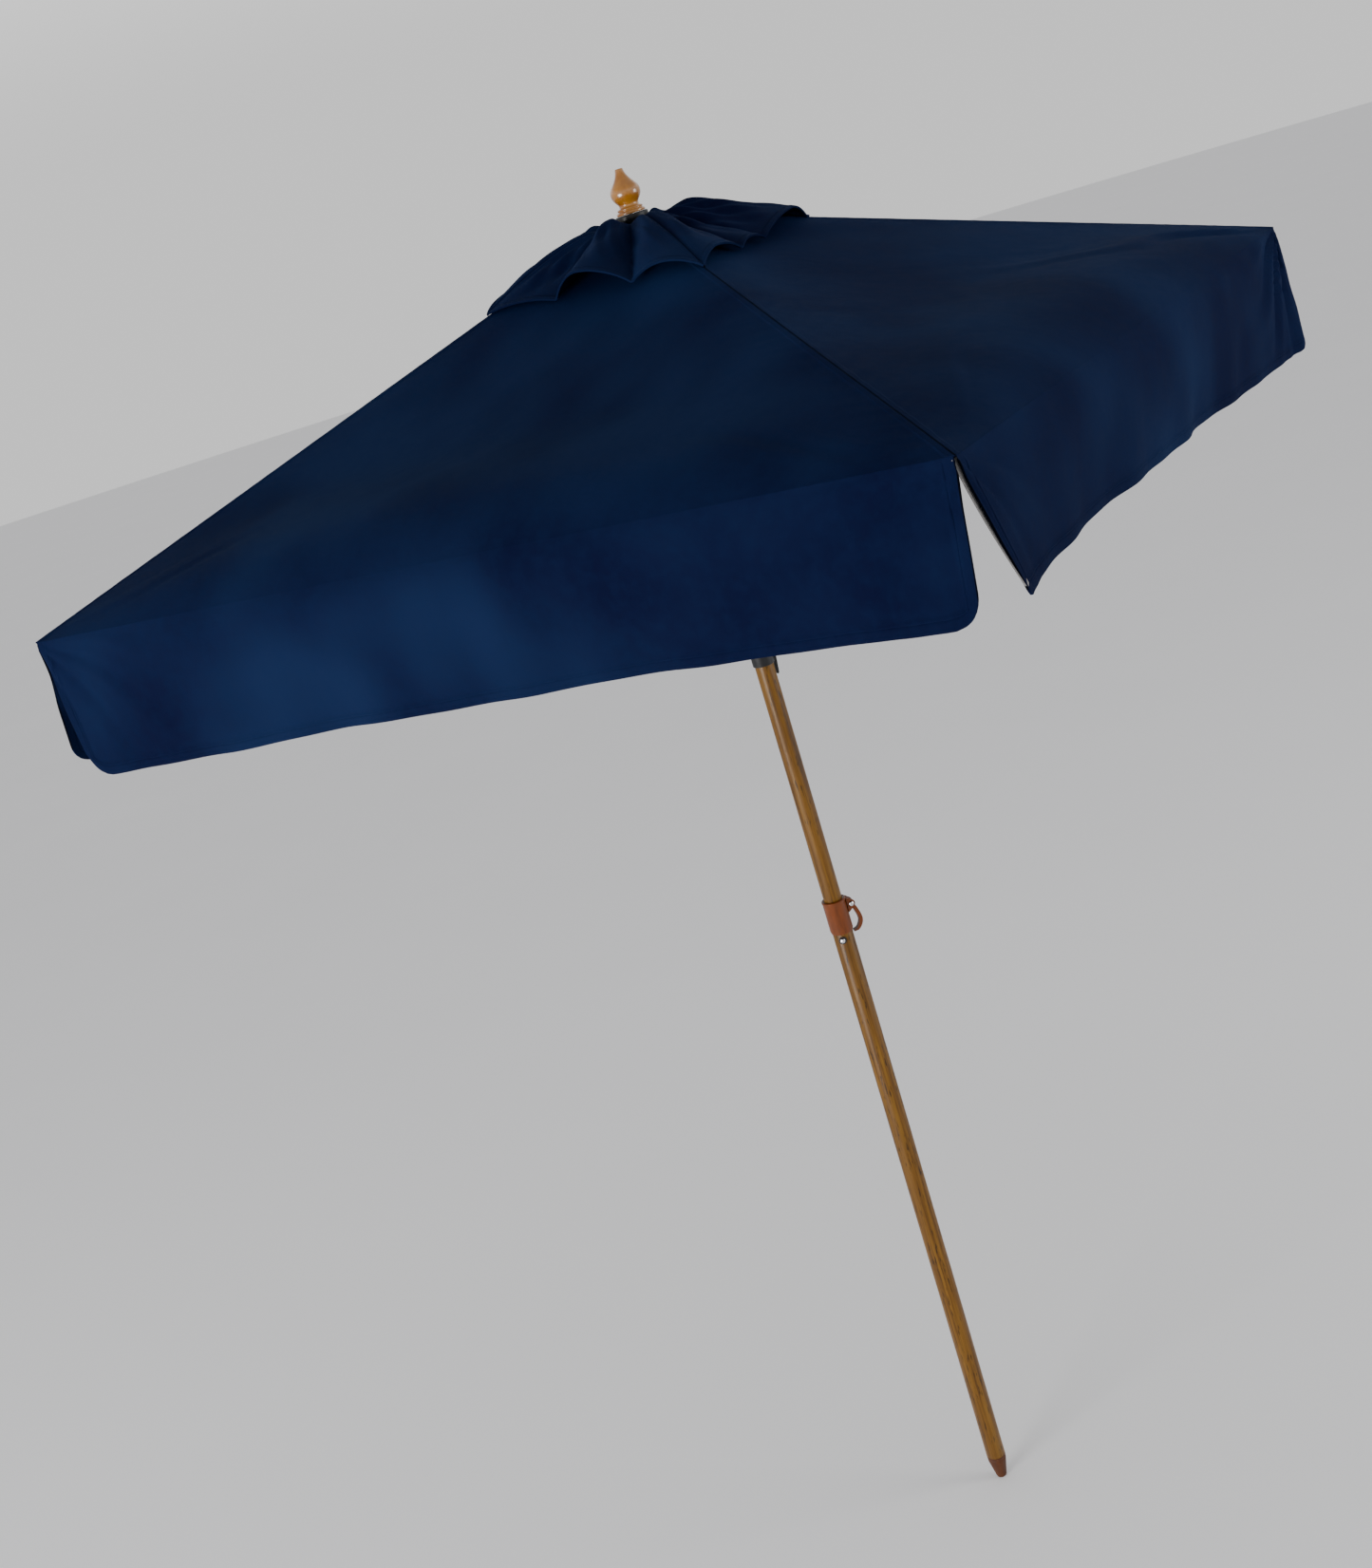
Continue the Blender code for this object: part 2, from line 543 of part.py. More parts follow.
def build_finial():
    spigot = UPPER_ID / 2 - GAP
    top = UPPER_TUBE_TOP
    profile = [(spigot, top), (spigot, top - PLUG_LENGTH), (STUD_RADIUS + GAP, top - PLUG_LENGTH),
               (STUD_RADIUS + GAP, top)]
    turned("tube_top_plug", profile, BLACK_PLASTIC, closed=True)

    stud_bottom = CROWN_TOP - STUD_BELOW
    stud_top = FINIAL_Z + STUD_ABOVE
    profile = [(0.0, stud_top), (STUD_RADIUS - CHAMFER, stud_top), (STUD_RADIUS, stud_top - CHAMFER),
               (STUD_RADIUS, stud_bottom + CHAMFER), (STUD_RADIUS - CHAMFER, stud_bottom), (0.0, stud_bottom)]
    turned("finial_stud", profile, BRIGHT_STEEL, steps=SMALL_STEPS)

    rim = DISC_OD / 2
    disc_top = DISC_BOTTOM + DISC_HEIGHT
    hole = STUD_RADIUS + GAP
    profile = [(rim - CHAMFER, disc_top), (rim, disc_top - CHAMFER), (rim, DISC_BOTTOM + 0.006),
               (rim - 0.002, DISC_BOTTOM + 0.0025), (rim - 0.006, DISC_BOTTOM), (hole, DISC_BOTTOM),
               (hole, disc_top)]
    turned("canopy_disc", profile, BLACK_PLASTIC, closed=True)

    base = FINIAL_BASE_RADIUS
    neck = FINIAL_NECK_RADIUS
    bulb = FINIAL_BULB_RADIUS
    tall = FINIAL_HEIGHT
    shape = smooth_line([(FINIAL_TIP_RADIUS, tall), (neck * 0.50, tall * 0.90), (neck * 0.89, tall * 0.745),
                         (bulb * 0.86, tall * 0.615), (bulb, tall * 0.49), (bulb * 0.92, tall * 0.37),
                         (neck * 1.12, tall * 0.27), (neck, tall * 0.205)], 2)
    foot = smooth_line([(base * 0.80, tall * 0.145), (base * 0.89, tall * 0.115), (base * 0.86, tall * 0.085),
                        (base * 0.96, tall * 0.065), (base, tall * 0.035), (base * 0.985, 0.0)], 1)
    plug_seat = tall - FINIAL_PLUG_DEPTH
    blind = STUD_ABOVE + 2 * CHAMFER
    outer = [(radius, FINIAL_Z + height) for radius, height in [*shape, *foot]]
    profile = [(0.0, FINIAL_Z + plug_seat), (FINIAL_PLUG_RADIUS + GAP, FINIAL_Z + plug_seat),
               (FINIAL_PLUG_RADIUS + GAP, FINIAL_Z + tall), *outer, (hole, FINIAL_Z),
               (hole, FINIAL_Z + blind), (0.0, FINIAL_Z + blind)]
    turned("finial", profile, TURNED_WOOD)

    plug_top = FINIAL_Z + tall + FINIAL_PLUG_PROUD
    plug_bottom = FINIAL_Z + plug_seat + GAP
    profile = [(0.0, plug_top), (FINIAL_PLUG_RADIUS - FINE_CHAMFER, plug_top),
               (FINIAL_PLUG_RADIUS, plug_top - FINE_CHAMFER),
               (FINIAL_PLUG_RADIUS, plug_bottom), (0.0, plug_bottom)]
    turned("finial_plug", profile, BLACK_PLASTIC, steps=SMALL_STEPS)


# ---------------------------------------------------------------- runner
def build_runner():
    """A sleeve on the upper tube with a slotted flange for the struts and ears for the latch."""
    bore = UPPER_OD / 2 + RUNNER_PLAY
    sleeve = bore + SLEEVE_WALL
    core = bore + FLANGE_CORE_WALL - CHAMFER
    rim = FLANGE_OD / 2
    flange_top = RUNNER_PIVOT_Z + FLANGE_HEIGHT / 2
    flange_bottom = RUNNER_PIVOT_Z - FLANGE_HEIGHT / 2
    profile = [(sleeve + 0.0004, RUNNER_TOP), (core, RUNNER_TOP - 0.003), (core, flange_top + 0.002),
               (rim - FLANGE_EDGE, flange_top), (rim, flange_top - FLANGE_EDGE),
               (rim, flange_bottom + FLANGE_EDGE), (rim - FLANGE_EDGE, flange_bottom),
               (core, flange_bottom - 0.003), (sleeve, flange_bottom - 0.006),
               (sleeve, RUNNER_BOTTOM + FINE_CHAMFER), (sleeve - FINE_CHAMFER, RUNNER_BOTTOM),
               (bore, RUNNER_BOTTOM),
               (bore, RUNNER_TOP)]
    runner = turned("runner_body", profile, BLACK_PLASTIC, closed=True)
    slot_half = STRUT_WIDTH / 2 + SIDE_PLAY
    for side, bearing in SIDES.items():
        slot = box("runner_slot_" + side, (bore + FLANGE_CORE_WALL, -slot_half, flange_bottom - OVERCUT),
                   (rim + OVERCUT, slot_half, flange_top + OVERCUT))
        slot.rotation_euler = (0.0, 0.0, math.radians(bearing))
        cut(runner, slot)
    latch_x = sleeve + LATCH_STANDOFF + LATCH_EYE_RADIUS
    ear_in = LATCH_WIDTH / 2 + SIDE_PLAY
    ear_outline = [*arc((latch_x, LATCH_PIN_Z), LATCH_EYE_RADIUS, 90.0, -90.0, 6),
                   (sleeve - OVERLAP, LATCH_PIN_Z - 2 * LATCH_EYE_RADIUS),
                   (sleeve - OVERLAP, LATCH_PIN_Z + LATCH_EYE_RADIUS)]
    for name, sign in (("latch_ear_left", 1), ("latch_ear_right", -1)):
        ear = plate(name, ear_outline, LATCH_EAR, None)
        ear.location = (0.0, sign * (ear_in + LATCH_EAR / 2), 0.0)
        join(runner, ear)
    cut(runner, cross_rod("latch_pin_hole", LATCH_PIN_RADIUS + GAP, latch_x, LATCH_PIN_Z))
    cross_rod("latch_pin", LATCH_PIN_RADIUS, latch_x, LATCH_PIN_Z, 2 * (ear_in + LATCH_EAR), BRIGHT_STEEL)
    build_latch(latch_x, sleeve)


def build_latch(latch_x, sleeve):
    """A finger tongue on the latch pin that reaches below the sleeve, close to the pole."""
    inner_high = sleeve + LATCH_CLEARANCE
    inner_low = UPPER_OD / 2 + LATCH_CLEARANCE
    step_z = RUNNER_BOTTOM - 0.0008
    low = RUNNER_BOTTOM - LATCH_REACH
    outline = [(x - latch_x, z - LATCH_PIN_Z) for x, z in [
        *arc((latch_x, LATCH_PIN_Z), LATCH_EYE_RADIUS, 180.0, 0.0, 8),
        (inner_high + LATCH_THICKNESS + 0.0008, LATCH_PIN_Z - 0.008),
        (inner_high + LATCH_THICKNESS - 0.0006, step_z),
        (inner_low + LATCH_THICKNESS, low + 0.0015), (inner_low + LATCH_THICKNESS - 0.0012, low),
        (inner_low + 0.0006, low), (inner_low, low + 0.0008), (inner_low, step_z), (inner_high, step_z)]]
    latch = plate("runner_latch", outline, LATCH_WIDTH, BLACK_PLASTIC)
    hole = cross_rod("latch_eye_hole", LATCH_PIN_RADIUS + GAP)
    cut(latch, hole)
    hang(pivot("latch_axis", (latch_x, 0.0, LATCH_PIN_Z)), latch, hole)


# ---------------------------------------------------------------- ribs and struts
def pill(length, radius, steps=6):
    """A bar outline with round ends, from (0, 0) to (length, 0)."""
    return [*arc((0.0, 0.0), radius, 90.0, 270.0, steps), *arc((length, 0.0), radius, -90.0, 90.0, steps)]


def build_rib(side, turn):
    """Every piece here is set out along the rib: +X to its outer end, +Z away from the ground."""
    half_width = RIB_WIDTH / 2
    low = RIB_RISE - RIB_DEPTH / 2
    high = RIB_RISE + RIB_DEPTH / 2
    bar = box("rib_bar_" + side, (RIB_START + GAP, -half_width, low), (RIB_END, half_width, high), RIB_WOOD,
              bevel=RIB_EDGE)

    tang = plate("rib_eye_" + side, pill(RIB_START - 0.005, EYE_RADIUS), TANG_WIDTH, BLACK_PLASTIC)
    root = RIB_START - SOCKET_ROOT
    socket = box("socket_" + side, (root, -half_width - SOCKET_WALL, low - SOCKET_WALL - SOCKET_SKIRT),
                 (root + SOCKET_LENGTH, half_width + SOCKET_WALL, high + SOCKET_WALL))
    pocket = box("socket_pocket_" + side, (RIB_START, -half_width - GAP, low - GAP),
                 (RIB_START + SOCKET_LENGTH, half_width + GAP, high + GAP))
    eye_hole = cross_rod("rib_eye_hole_" + side, RING_WIRE / 2 + SIDE_PLAY)
    join(tang, socket)
    cut(tang, pocket, eye_hole)

    block_half = BRACKET_LENGTH / 2
    left = STRUT_AT - block_half
    right = STRUT_AT + block_half
    top = high + SOCKET_WALL
    outline = [(left, top), (left, low - SOCKET_WALL),
               *arc((STRUT_AT, 0.0), BRACKET_EAR_RADIUS, 180.0, 360.0, 8),
               (right, low - SOCKET_WALL), (right, top)]
    bracket = plate("rib_bracket_" + side, outline, BRACKET_WIDTH, BLACK_PLASTIC)
    channel = box("bar_channel_" + side, (left - OVERCUT, -half_width - GAP, low - GAP),
                  (right + OVERCUT, half_width + GAP, high + GAP))
    strut_half = STRUT_WIDTH / 2 + SIDE_PLAY
    strut_slot = box("strut_slot_" + side, (left - OVERCUT, -strut_half, -2 * OVERCUT),
                     (right + OVERCUT, strut_half, STRUT_DEPTH / 2 + 2 * GAP))
    pin_hole = cross_rod("bracket_hole_" + side, STRUT_PIN_RADIUS + PIN_HOLE_PLAY, STRUT_AT)
    cut(bracket, channel, strut_slot, pin_hole)

    pin = cross_rod("strut_pin_" + side, STRUT_PIN_RADIUS, STRUT_AT, 0.0, BRACKET_WIDTH, BRIGHT_STEEL)

    cap_end = RIB_END + TIP_CAP_END_WALL
    cap = box("rib_tip_" + side, (cap_end - TIP_CAP_LENGTH, -half_width - TIP_CAP_WALL, low - TIP_CAP_WALL),
              (cap_end, half_width + TIP_CAP_WALL, high + TIP_CAP_WALL), BLACK_PLASTIC)
    cap_pocket = box("tip_pocket_" + side, (cap_end - TIP_CAP_LENGTH - OVERCUT, -half_width - GAP, low - GAP),
                     (RIB_END + GAP, half_width + GAP, high + GAP))
    cut(cap, cap_pocket)

    line = pivot("rib_line_" + side, (0.0, 0.0, 0.0), (0.0, math.degrees(RIB_ANGLE), 0.0), turn)
    hang(line, bar, tang, socket, pocket, eye_hole)
    hang(line, bracket, channel, strut_slot, pin_hole, pin, cap, cap_pocket)


def build_strut(side, turn):
    """The strut hangs on the bracket's pin and points at the runner's flange."""
    joint = (STRUT_AT * math.cos(RIB_ANGLE), -STRUT_AT * math.sin(RIB_ANGLE))
    foot = (0.0, RUNNER_PIVOT_Z - RIB_PIVOT_Z)
    length = math.dist(joint, foot)
    lean = math.degrees(math.atan2(foot[1] - joint[1], foot[0] - joint[0]))
    strut = plate("strut_" + side, pill(length, STRUT_DEPTH / 2), STRUT_WIDTH, RIB_WOOD)
    top_hole = cross_rod("strut_hole_" + side, STRUT_PIN_RADIUS + PIN_HOLE_PLAY)
    foot_hole = cross_rod("strut_foot_hole_" + side, STRUT_PIN_RADIUS + PIN_HOLE_PLAY, length)
    cut(strut, top_hole, foot_hole)
    axis = pivot("strut_axis_" + side, (joint[0], 0.0, joint[1]), (0.0, -lean, 0.0), turn)
    hang(axis, strut, top_hole, foot_hole)


# ---------------------------------------------------------------- cloth
def roof_z(reach):
    """Height of the canopy's top where |x| + |y| is reach."""
    return APEX_Z - ROOF_SLOPE * reach


def vent_z(reach):
    """Height of the vent's top: flat under the disc, then down to its hem above the canopy."""
    flat = (APEX_Z - VENT_FLAT_TOP) / ROOF_SLOPE
    hem = roof_z(VENT_RADIUS) + VENT_LIFT
    share = max(0.0, (reach - flat) / (VENT_RADIUS - flat))
    return VENT_FLAT_TOP + (hem - VENT_FLAT_TOP) * share


def cloth_quarter(name, reaches, height, thickness, turn):
    """The quarter of a square sheet round one rib, halfway to each of the next ribs."""
    seam = GAP
    shape = bmesh.new()
    rows = []
    for reach in reaches:
        middle = (reach - seam) / 2
        rows.append([shape.verts.new((x - PIVOT_RADIUS, y, height(reach) - RIB_PIVOT_Z)) for x, y in
                     ((middle + seam, -middle), (reach, 0.0), (middle + seam, middle))])
    for inner, outer in zip(rows, rows[1:]):
        for index in range(2):
            shape.faces.new((inner[index], outer[index], outer[index + 1], inner[index + 1]))
    mesh = bpy.data.meshes.new(name)
    shape.to_mesh(mesh)
    shape.free()
    sheet = add_object(name, mesh, NAVY_CLOTH)
    body = sheet.modifiers.new("thickness", "SOLIDIFY")
    body.thickness = thickness
    body.offset = -1.0
    hang(turn, sheet)


def build_cloth(side, turn):
    flat = (APEX_Z - VENT_FLAT_TOP) / ROOF_SLOPE
    cloth_quarter("canopy_" + side, [VENT_HOLE_RADIUS, CORNER_RADIUS], roof_z, CLOTH, turn)
    cloth_quarter("vent_" + side, [CENTRE_HOLE_RADIUS, flat, VENT_RADIUS], vent_z, VENT_CLOTH, turn)
    length = CORNER_RADIUS / math.sqrt(2.0) - GAP
    top = -1.15 * CLOTH
    bottom = -VALANCE_DROP
    for sign, neighbour in zip((1, -1), NEIGHBOURS[side]):
        outline = [(VALANCE_SLIT, top), (length, top), (length, bottom),
                   *arc((VALANCE_SLIT + VALANCE_ROUND, bottom + VALANCE_ROUND), VALANCE_ROUND,
                        270.0, 180.0, 5)]
        flap = plate("valance_" + side + "_" + neighbour, outline, CLOTH, NAVY_CLOTH)
        flap.location = (0.0, sign * CLOTH / 2, 0.0)
        corner = (CORNER_RADIUS - PIVOT_RADIUS, 0.0, EAVE_Z - RIB_PIVOT_Z)
        eave = pivot("eave_" + side + "_" + neighbour, corner, (0.0, 0.0, sign * 135.0), turn)
        hang(eave, flap)


def build_strap(turn):
    """The closing strap, sewn inside the front corner and hanging straight down."""
    top = EAVE_Z - STRAP_TOP_BELOW_EAVE - RIB_PIVOT_Z
    reach = CORNER_RADIUS - STRAP_INSET - PIVOT_RADIUS
    strap = box("closing_strap", (reach - STRAP_THICKNESS, -STRAP_WIDTH / 2, top - STRAP_LENGTH),
                (reach, STRAP_WIDTH / 2, top), GREY_WEBBING)
    hang(turn, strap)


# ---------------------------------------------------------------- assembly
build_lower_tube()
build_ground_tip()
build_collar()
build_lever()
build_lever_pin()
build_rivet()
build_upper_tube()
build_crown()
build_crown_ring()
build_finial()
build_runner()
for rib_side, rib_bearing in SIDES.items():
    bearing = math.radians(rib_bearing)
    hinge = pivot("rib_axis_" + rib_side,
                  (PIVOT_RADIUS * math.cos(bearing), PIVOT_RADIUS * math.sin(bearing), RIB_PIVOT_Z),
                  (0.0, 0.0, rib_bearing))
    build_rib(rib_side, hinge)
    build_strut(rib_side, hinge)
    build_cloth(rib_side, hinge)
    if rib_side == "front":
        build_strap(hinge)
bpy.context.view_layer.update()
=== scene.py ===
"""Square beach umbrella, dressed for a product view: cloth, wood-grain pole, mouldings and fittings.

Everything is in metres. The pole stands on Z; the ribs point along -Y, +X, +Y and -X.
"""
import json
import logging
import math
from dataclasses import dataclass, field
from enum import Enum
from typing import Any, Mapping, Sequence

import bmesh
import bpy
import numpy as np
from mathutils import Matrix, Vector


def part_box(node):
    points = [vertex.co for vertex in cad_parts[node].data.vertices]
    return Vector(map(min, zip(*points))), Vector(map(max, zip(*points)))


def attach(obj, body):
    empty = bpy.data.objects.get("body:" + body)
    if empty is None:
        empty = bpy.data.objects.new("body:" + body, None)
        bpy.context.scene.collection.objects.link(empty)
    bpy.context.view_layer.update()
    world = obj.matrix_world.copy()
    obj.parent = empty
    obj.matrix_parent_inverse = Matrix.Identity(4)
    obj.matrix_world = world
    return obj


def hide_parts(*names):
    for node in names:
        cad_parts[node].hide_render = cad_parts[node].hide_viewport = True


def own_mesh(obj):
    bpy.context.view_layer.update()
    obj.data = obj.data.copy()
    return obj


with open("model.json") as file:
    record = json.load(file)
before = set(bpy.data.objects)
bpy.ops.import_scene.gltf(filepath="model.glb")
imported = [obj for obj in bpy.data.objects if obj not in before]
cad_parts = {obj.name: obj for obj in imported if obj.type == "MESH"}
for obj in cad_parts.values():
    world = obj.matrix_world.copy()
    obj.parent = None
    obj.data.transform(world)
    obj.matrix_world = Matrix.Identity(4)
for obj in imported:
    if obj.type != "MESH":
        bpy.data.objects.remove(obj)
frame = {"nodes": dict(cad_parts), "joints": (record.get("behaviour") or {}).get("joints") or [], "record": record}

logging.basicConfig(level=logging.INFO, format="%(name)s: %(message)s")
LOG = logging.getLogger("beach_umbrella")

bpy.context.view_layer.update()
JOINTS = {joint["name"]: joint for joint in frame["joints"]}
Colour = tuple[float, float, float]
Profile = list[tuple[float, float]]


# ================================================================ shader graphs
class Wire:
    """One socket in a shader graph; arithmetic on it adds Math nodes."""

    def __init__(self, graph: "Graph", socket: bpy.types.NodeSocket) -> None:
        """Args:
            graph: the graph that the socket is in.
            socket: an output socket.
        """
        self.graph = graph
        self.socket = socket

    def _math(self, operation: str, first: Any, second: Any = 0.0) -> "Wire":
        """Adds one Math node and returns its result."""
        return self.graph.node("ShaderNodeMath", {"operation": operation}, {0: first, 1: second})

    def __add__(self, other: Any) -> "Wire":
        """Sum."""
        return self._math("ADD", self, other)

    __radd__ = __add__

    def __mul__(self, other: Any) -> "Wire":
        """Product."""
        return self._math("MULTIPLY", self, other)

    __rmul__ = __mul__

    def sine(self) -> "Wire":
        """Sine of a value in radians."""
        return self._math("SINE", self)

    def between(self, low: float, high: float) -> "Wire":
        """Rises smoothly from 0 at low to 1 at high."""
        return self.graph.node("ShaderNodeMapRange", {"interpolation_type": "SMOOTHSTEP"},
                               {"Value": self, "From Min": low, "From Max": high})


class Graph:
    """The node graph of one finish, or of the studio's air, ending in one shader."""

    def __init__(self, name: str, world: bool = False) -> None:
        """Args:
            name: the material's or the world's name.
            world: whether it lights the studio instead of dressing a piece.
        """
        self.material = (bpy.data.worlds if world else bpy.data.materials).new(name)
        self.material.use_nodes = True
        self.tree = self.material.node_tree
        self.shader = self.tree.nodes["Background" if world else "Principled BSDF"]

    def node(self, kind: str, settings: Mapping[str, Any] | None = None,
             inputs: Mapping[Any, Any] | None = None, output: int | str = 0) -> Wire:
        """Adds a node.

        Args:
            kind: the node's type.
            settings: attributes set first; "ramp" holds a colour ramp's stops.
            inputs: values or wires, by socket name or number.
            output: which output to return.

        Returns:
            The chosen output.
        """
        made = self.tree.nodes.new(kind)
        for key, value in (settings or {}).items():
            if key == "ramp":
                self._set_ramp(made.color_ramp, value)
            else:
                setattr(made, key, value)
        for key, value in (inputs or {}).items():
            self.feed(made.inputs[key], value)
        return Wire(self, made.outputs[output])

    @staticmethod
    def _set_ramp(ramp: bpy.types.ColorRamp, stops: Sequence[tuple[float, Colour]]) -> None:
        """Gives a colour ramp its stops.

        Args:
            ramp: a new ramp, which has two stops already.
            stops: places and colours, in order.
        """
        for index, (place, colour) in enumerate(stops):
            stop = ramp.elements[index] if index < 2 else ramp.elements.new(place)
            stop.position = place
            stop.color = (*colour, 1.0)

    def feed(self, socket: bpy.types.NodeSocket, value: Any) -> None:
        """Links a wire to a socket, or sets the socket's own value.

        Args:
            socket: an input socket.
            value: a wire, a colour or a number.
        """
        if isinstance(value, Wire):
            self.tree.links.new(value.socket, socket)
        elif isinstance(value, tuple) and len(value) == 3 and len(socket.default_value) == 4:
            socket.default_value = (*value, 1.0)
        else:
            socket.default_value = value

    def set(self, **inputs: Any) -> None:
        """Feeds the Principled shader; an underscore in a name stands for a space."""
        for name, value in inputs.items():
            self.feed(self.shader.inputs[name.replace("_", " ")], value)

    def place(self) -> Wire:
        """A point's place on the piece, in metres."""
        return self.node("ShaderNodeTexCoord", output="Object")

    def flat_place(self) -> tuple[Wire, Wire]:
        """A point's place on the flat cloth, in metres: across and along."""
        uv = self.node("ShaderNodeUVMap", {"uv_map": "cloth"})
        return tuple(self.node("ShaderNodeSeparateXYZ", inputs={0: uv}, output=axis) for axis in (0, 1))

    def noise(self, vector: Wire, scale: float, detail: float = 3.0, roughness: float = 0.5) -> Wire:
        """Cloudy noise from 0 to 1."""
        return self.node("ShaderNodeTexNoise", inputs={"Vector": vector, "Scale": scale, "Detail": detail,
                                                       "Roughness": roughness})

    def stretched(self, vector: Wire, scale: Colour) -> Wire:
        """A vector scaled along each axis."""
        return self.node("ShaderNodeVectorMath", {"operation": "MULTIPLY"}, {0: vector, 1: scale})

    def ramp(self, factor: Wire, *stops: tuple[float, Colour]) -> Wire:
        """A colour picked by a factor."""
        return self.node("ShaderNodeValToRGB", {"ramp": stops}, {0: factor})

    def mix(self, factor: Any, first: Any, second: Any, blend: str = "MIX") -> Wire:
        """Two colours mixed."""
        return self.node("ShaderNodeMix", {"data_type": "RGBA", "blend_type": blend},
                         {0: factor, 6: first, 7: second}, output=2)

    def bump(self, height: Wire, distance: float, strength: float = 1.0) -> None:
        """Feeds the Normal socket from a height."""
        self.set(Normal=self.node("ShaderNodeBump", inputs={"Height": height, "Distance": distance,
                                                            "Strength": strength}))


# ================================================================ finishes
@dataclass(frozen=True)
class Cloth:
    """Plain-weave outdoor cloth, piece-dyed."""

    name: str = "navy_cloth"
    dark: Colour = (0.0021, 0.0029, 0.0178)
    light: Colour = (0.0050, 0.0120, 0.0410)
    # painted shade: near-black navy laid into each seam's ditch and along each flap's slit edge
    seam_line: Colour = (0.0003, 0.0006, 0.0022)
    yarn: float = 0.0007
    sheen: float = 0.10
    sheen_tint: Colour = (0.020, 0.110, 0.350)

    def make(self) -> bpy.types.Material:
        """Returns the material."""
        graph = Graph(self.name)
        across, along = graph.flat_place()
        place = graph.place()
        broad = graph.noise(place, 3.2, 2.0)
        slub = graph.noise(place, 60.0, 4.0, 0.6)
        colour = graph.mix(broad.between(0.35, 0.70), self.dark, self.light)
        colour = graph.mix(slub.between(0.30, 0.80) * 0.25, colour, self.light)
        # painted shade: within about a millimetre of each seam's middle, and of each flap's slit edge, the cloth
        # turns to the seam-ditch shade colour
        colour = graph.mix(across.between(0.0003, 0.0012), self.seam_line, colour)
        turn = 2.0 * math.pi / self.yarn
        weave = (across * turn).sine() * 0.5 + (along * turn).sine() * 0.5
        crumple = graph.noise(place, 26.0, 4.0, 0.55)
        crease = graph.noise(graph.stretched(place, (1.0, 1.0, 0.35)), 9.0, 5.0, 0.62)
        graph.set(Base_Color=colour, Roughness=slub.between(0.2, 0.9) * 0.12 + 0.78,
                  Sheen_Weight=self.sheen, Sheen_Roughness=0.45, Sheen_Tint=(*self.sheen_tint, 1.0),
                  Specular_IOR_Level=0.02)
        graph.bump(weave * 0.10 + crumple * 0.7 + crease * 3.0, 0.0012, 0.6)
        return graph.material


@dataclass(frozen=True)
class PrintedGrain:
    """Wood grain printed on a steel tube, under a satin lacquer."""

    name: str = "wood_grain_tube"
    light: Colour = (0.176, 0.083, 0.0075)
    middle: Colour = (0.122, 0.051, 0.0030)
    dark: Colour = (0.040, 0.015, 0.0010)
    pore: Colour = (0.010, 0.004, 0.0005)

    def make(self) -> bpy.types.Material:
        """Returns the material."""
        graph = Graph(self.name)
        place = graph.place()
        grain = graph.noise(graph.stretched(place, (1.0, 1.0, 0.030)), 190.0, 5.0, 0.62)
        fleck = graph.noise(graph.stretched(place, (1.0, 1.0, 0.016)), 520.0, 3.0, 0.6)
        cloud = graph.noise(graph.stretched(place, (1.0, 1.0, 0.25)), 14.0, 2.0)
        base = graph.ramp(grain, (0.30, self.dark), (0.47, self.middle), (0.66, self.light))
        base = graph.mix(fleck.between(0.56, 0.70) * 0.55, base, self.dark)
        base = graph.mix(cloud.between(0.35, 0.75) * 0.28, base, self.dark)
        short = graph.noise(graph.stretched(place, (1.0, 1.0, 0.11)), 340.0, 2.0)
        base = graph.mix(short.between(0.60, 0.68) * 0.80, base, self.pore)
        graph.set(Base_Color=base, Roughness=fleck.between(0.4, 0.8) * 0.12 + 0.42, Coat_Weight=0.06,
                  Coat_Roughness=0.22, Specular_IOR_Level=0.22)
        graph.bump(fleck, 0.00012, 0.6)
        return graph.material


@dataclass(frozen=True)
class Lacquered:
    """Solid wood, turned or planed, with growth lines and a clear coat."""

    name: str
    light: Colour
    dark: Colour
    along: Colour
    coat: float
    roughness: float

    def make(self) -> bpy.types.Material:
        """Returns the material."""
        graph = Graph(self.name)
        place = graph.stretched(graph.place(), self.along)
        swirl = graph.noise(place, 55.0, 3.0)
        lines = graph.noise(place, 210.0, 4.0, 0.65)
        colour = graph.mix(swirl.between(0.30, 0.72), self.light, self.dark)
        colour = graph.mix(lines.between(0.52, 0.72) * 0.40, colour, self.dark)
        graph.set(Base_Color=colour, Roughness=lines * 0.10 + self.roughness, Coat_Weight=self.coat,
                  Coat_Roughness=0.06)
        graph.bump(lines, 0.00015, 0.4)
        return graph.material


@dataclass(frozen=True)
class Moulded:
    """Injection-moulded plastic with a faint orange-peel and flow marks."""

    name: str
    colour: Colour
    streak: Colour
    roughness: float = 0.34
    coat: float = 0.0

    def make(self) -> bpy.types.Material:
        """Returns the material."""
        graph = Graph(self.name)
        place = graph.place()
        flow = graph.noise(graph.stretched(place, (1.0, 1.0, 0.25)), 130.0, 3.0, 0.6)
        peel = graph.noise(place, 900.0, 2.0)
        worn = graph.noise(place, 60.0, 4.0, 0.7)
        graph.set(Base_Color=graph.mix(flow.between(0.35, 0.75), self.colour, self.streak),
                  Specular_IOR_Level=0.30, Roughness=worn.between(0.35, 0.75) * 0.14 + self.roughness,
                  Coat_Weight=self.coat, Coat_Roughness=0.15)
        graph.bump(peel, 0.00008, 0.5)
        return graph.material


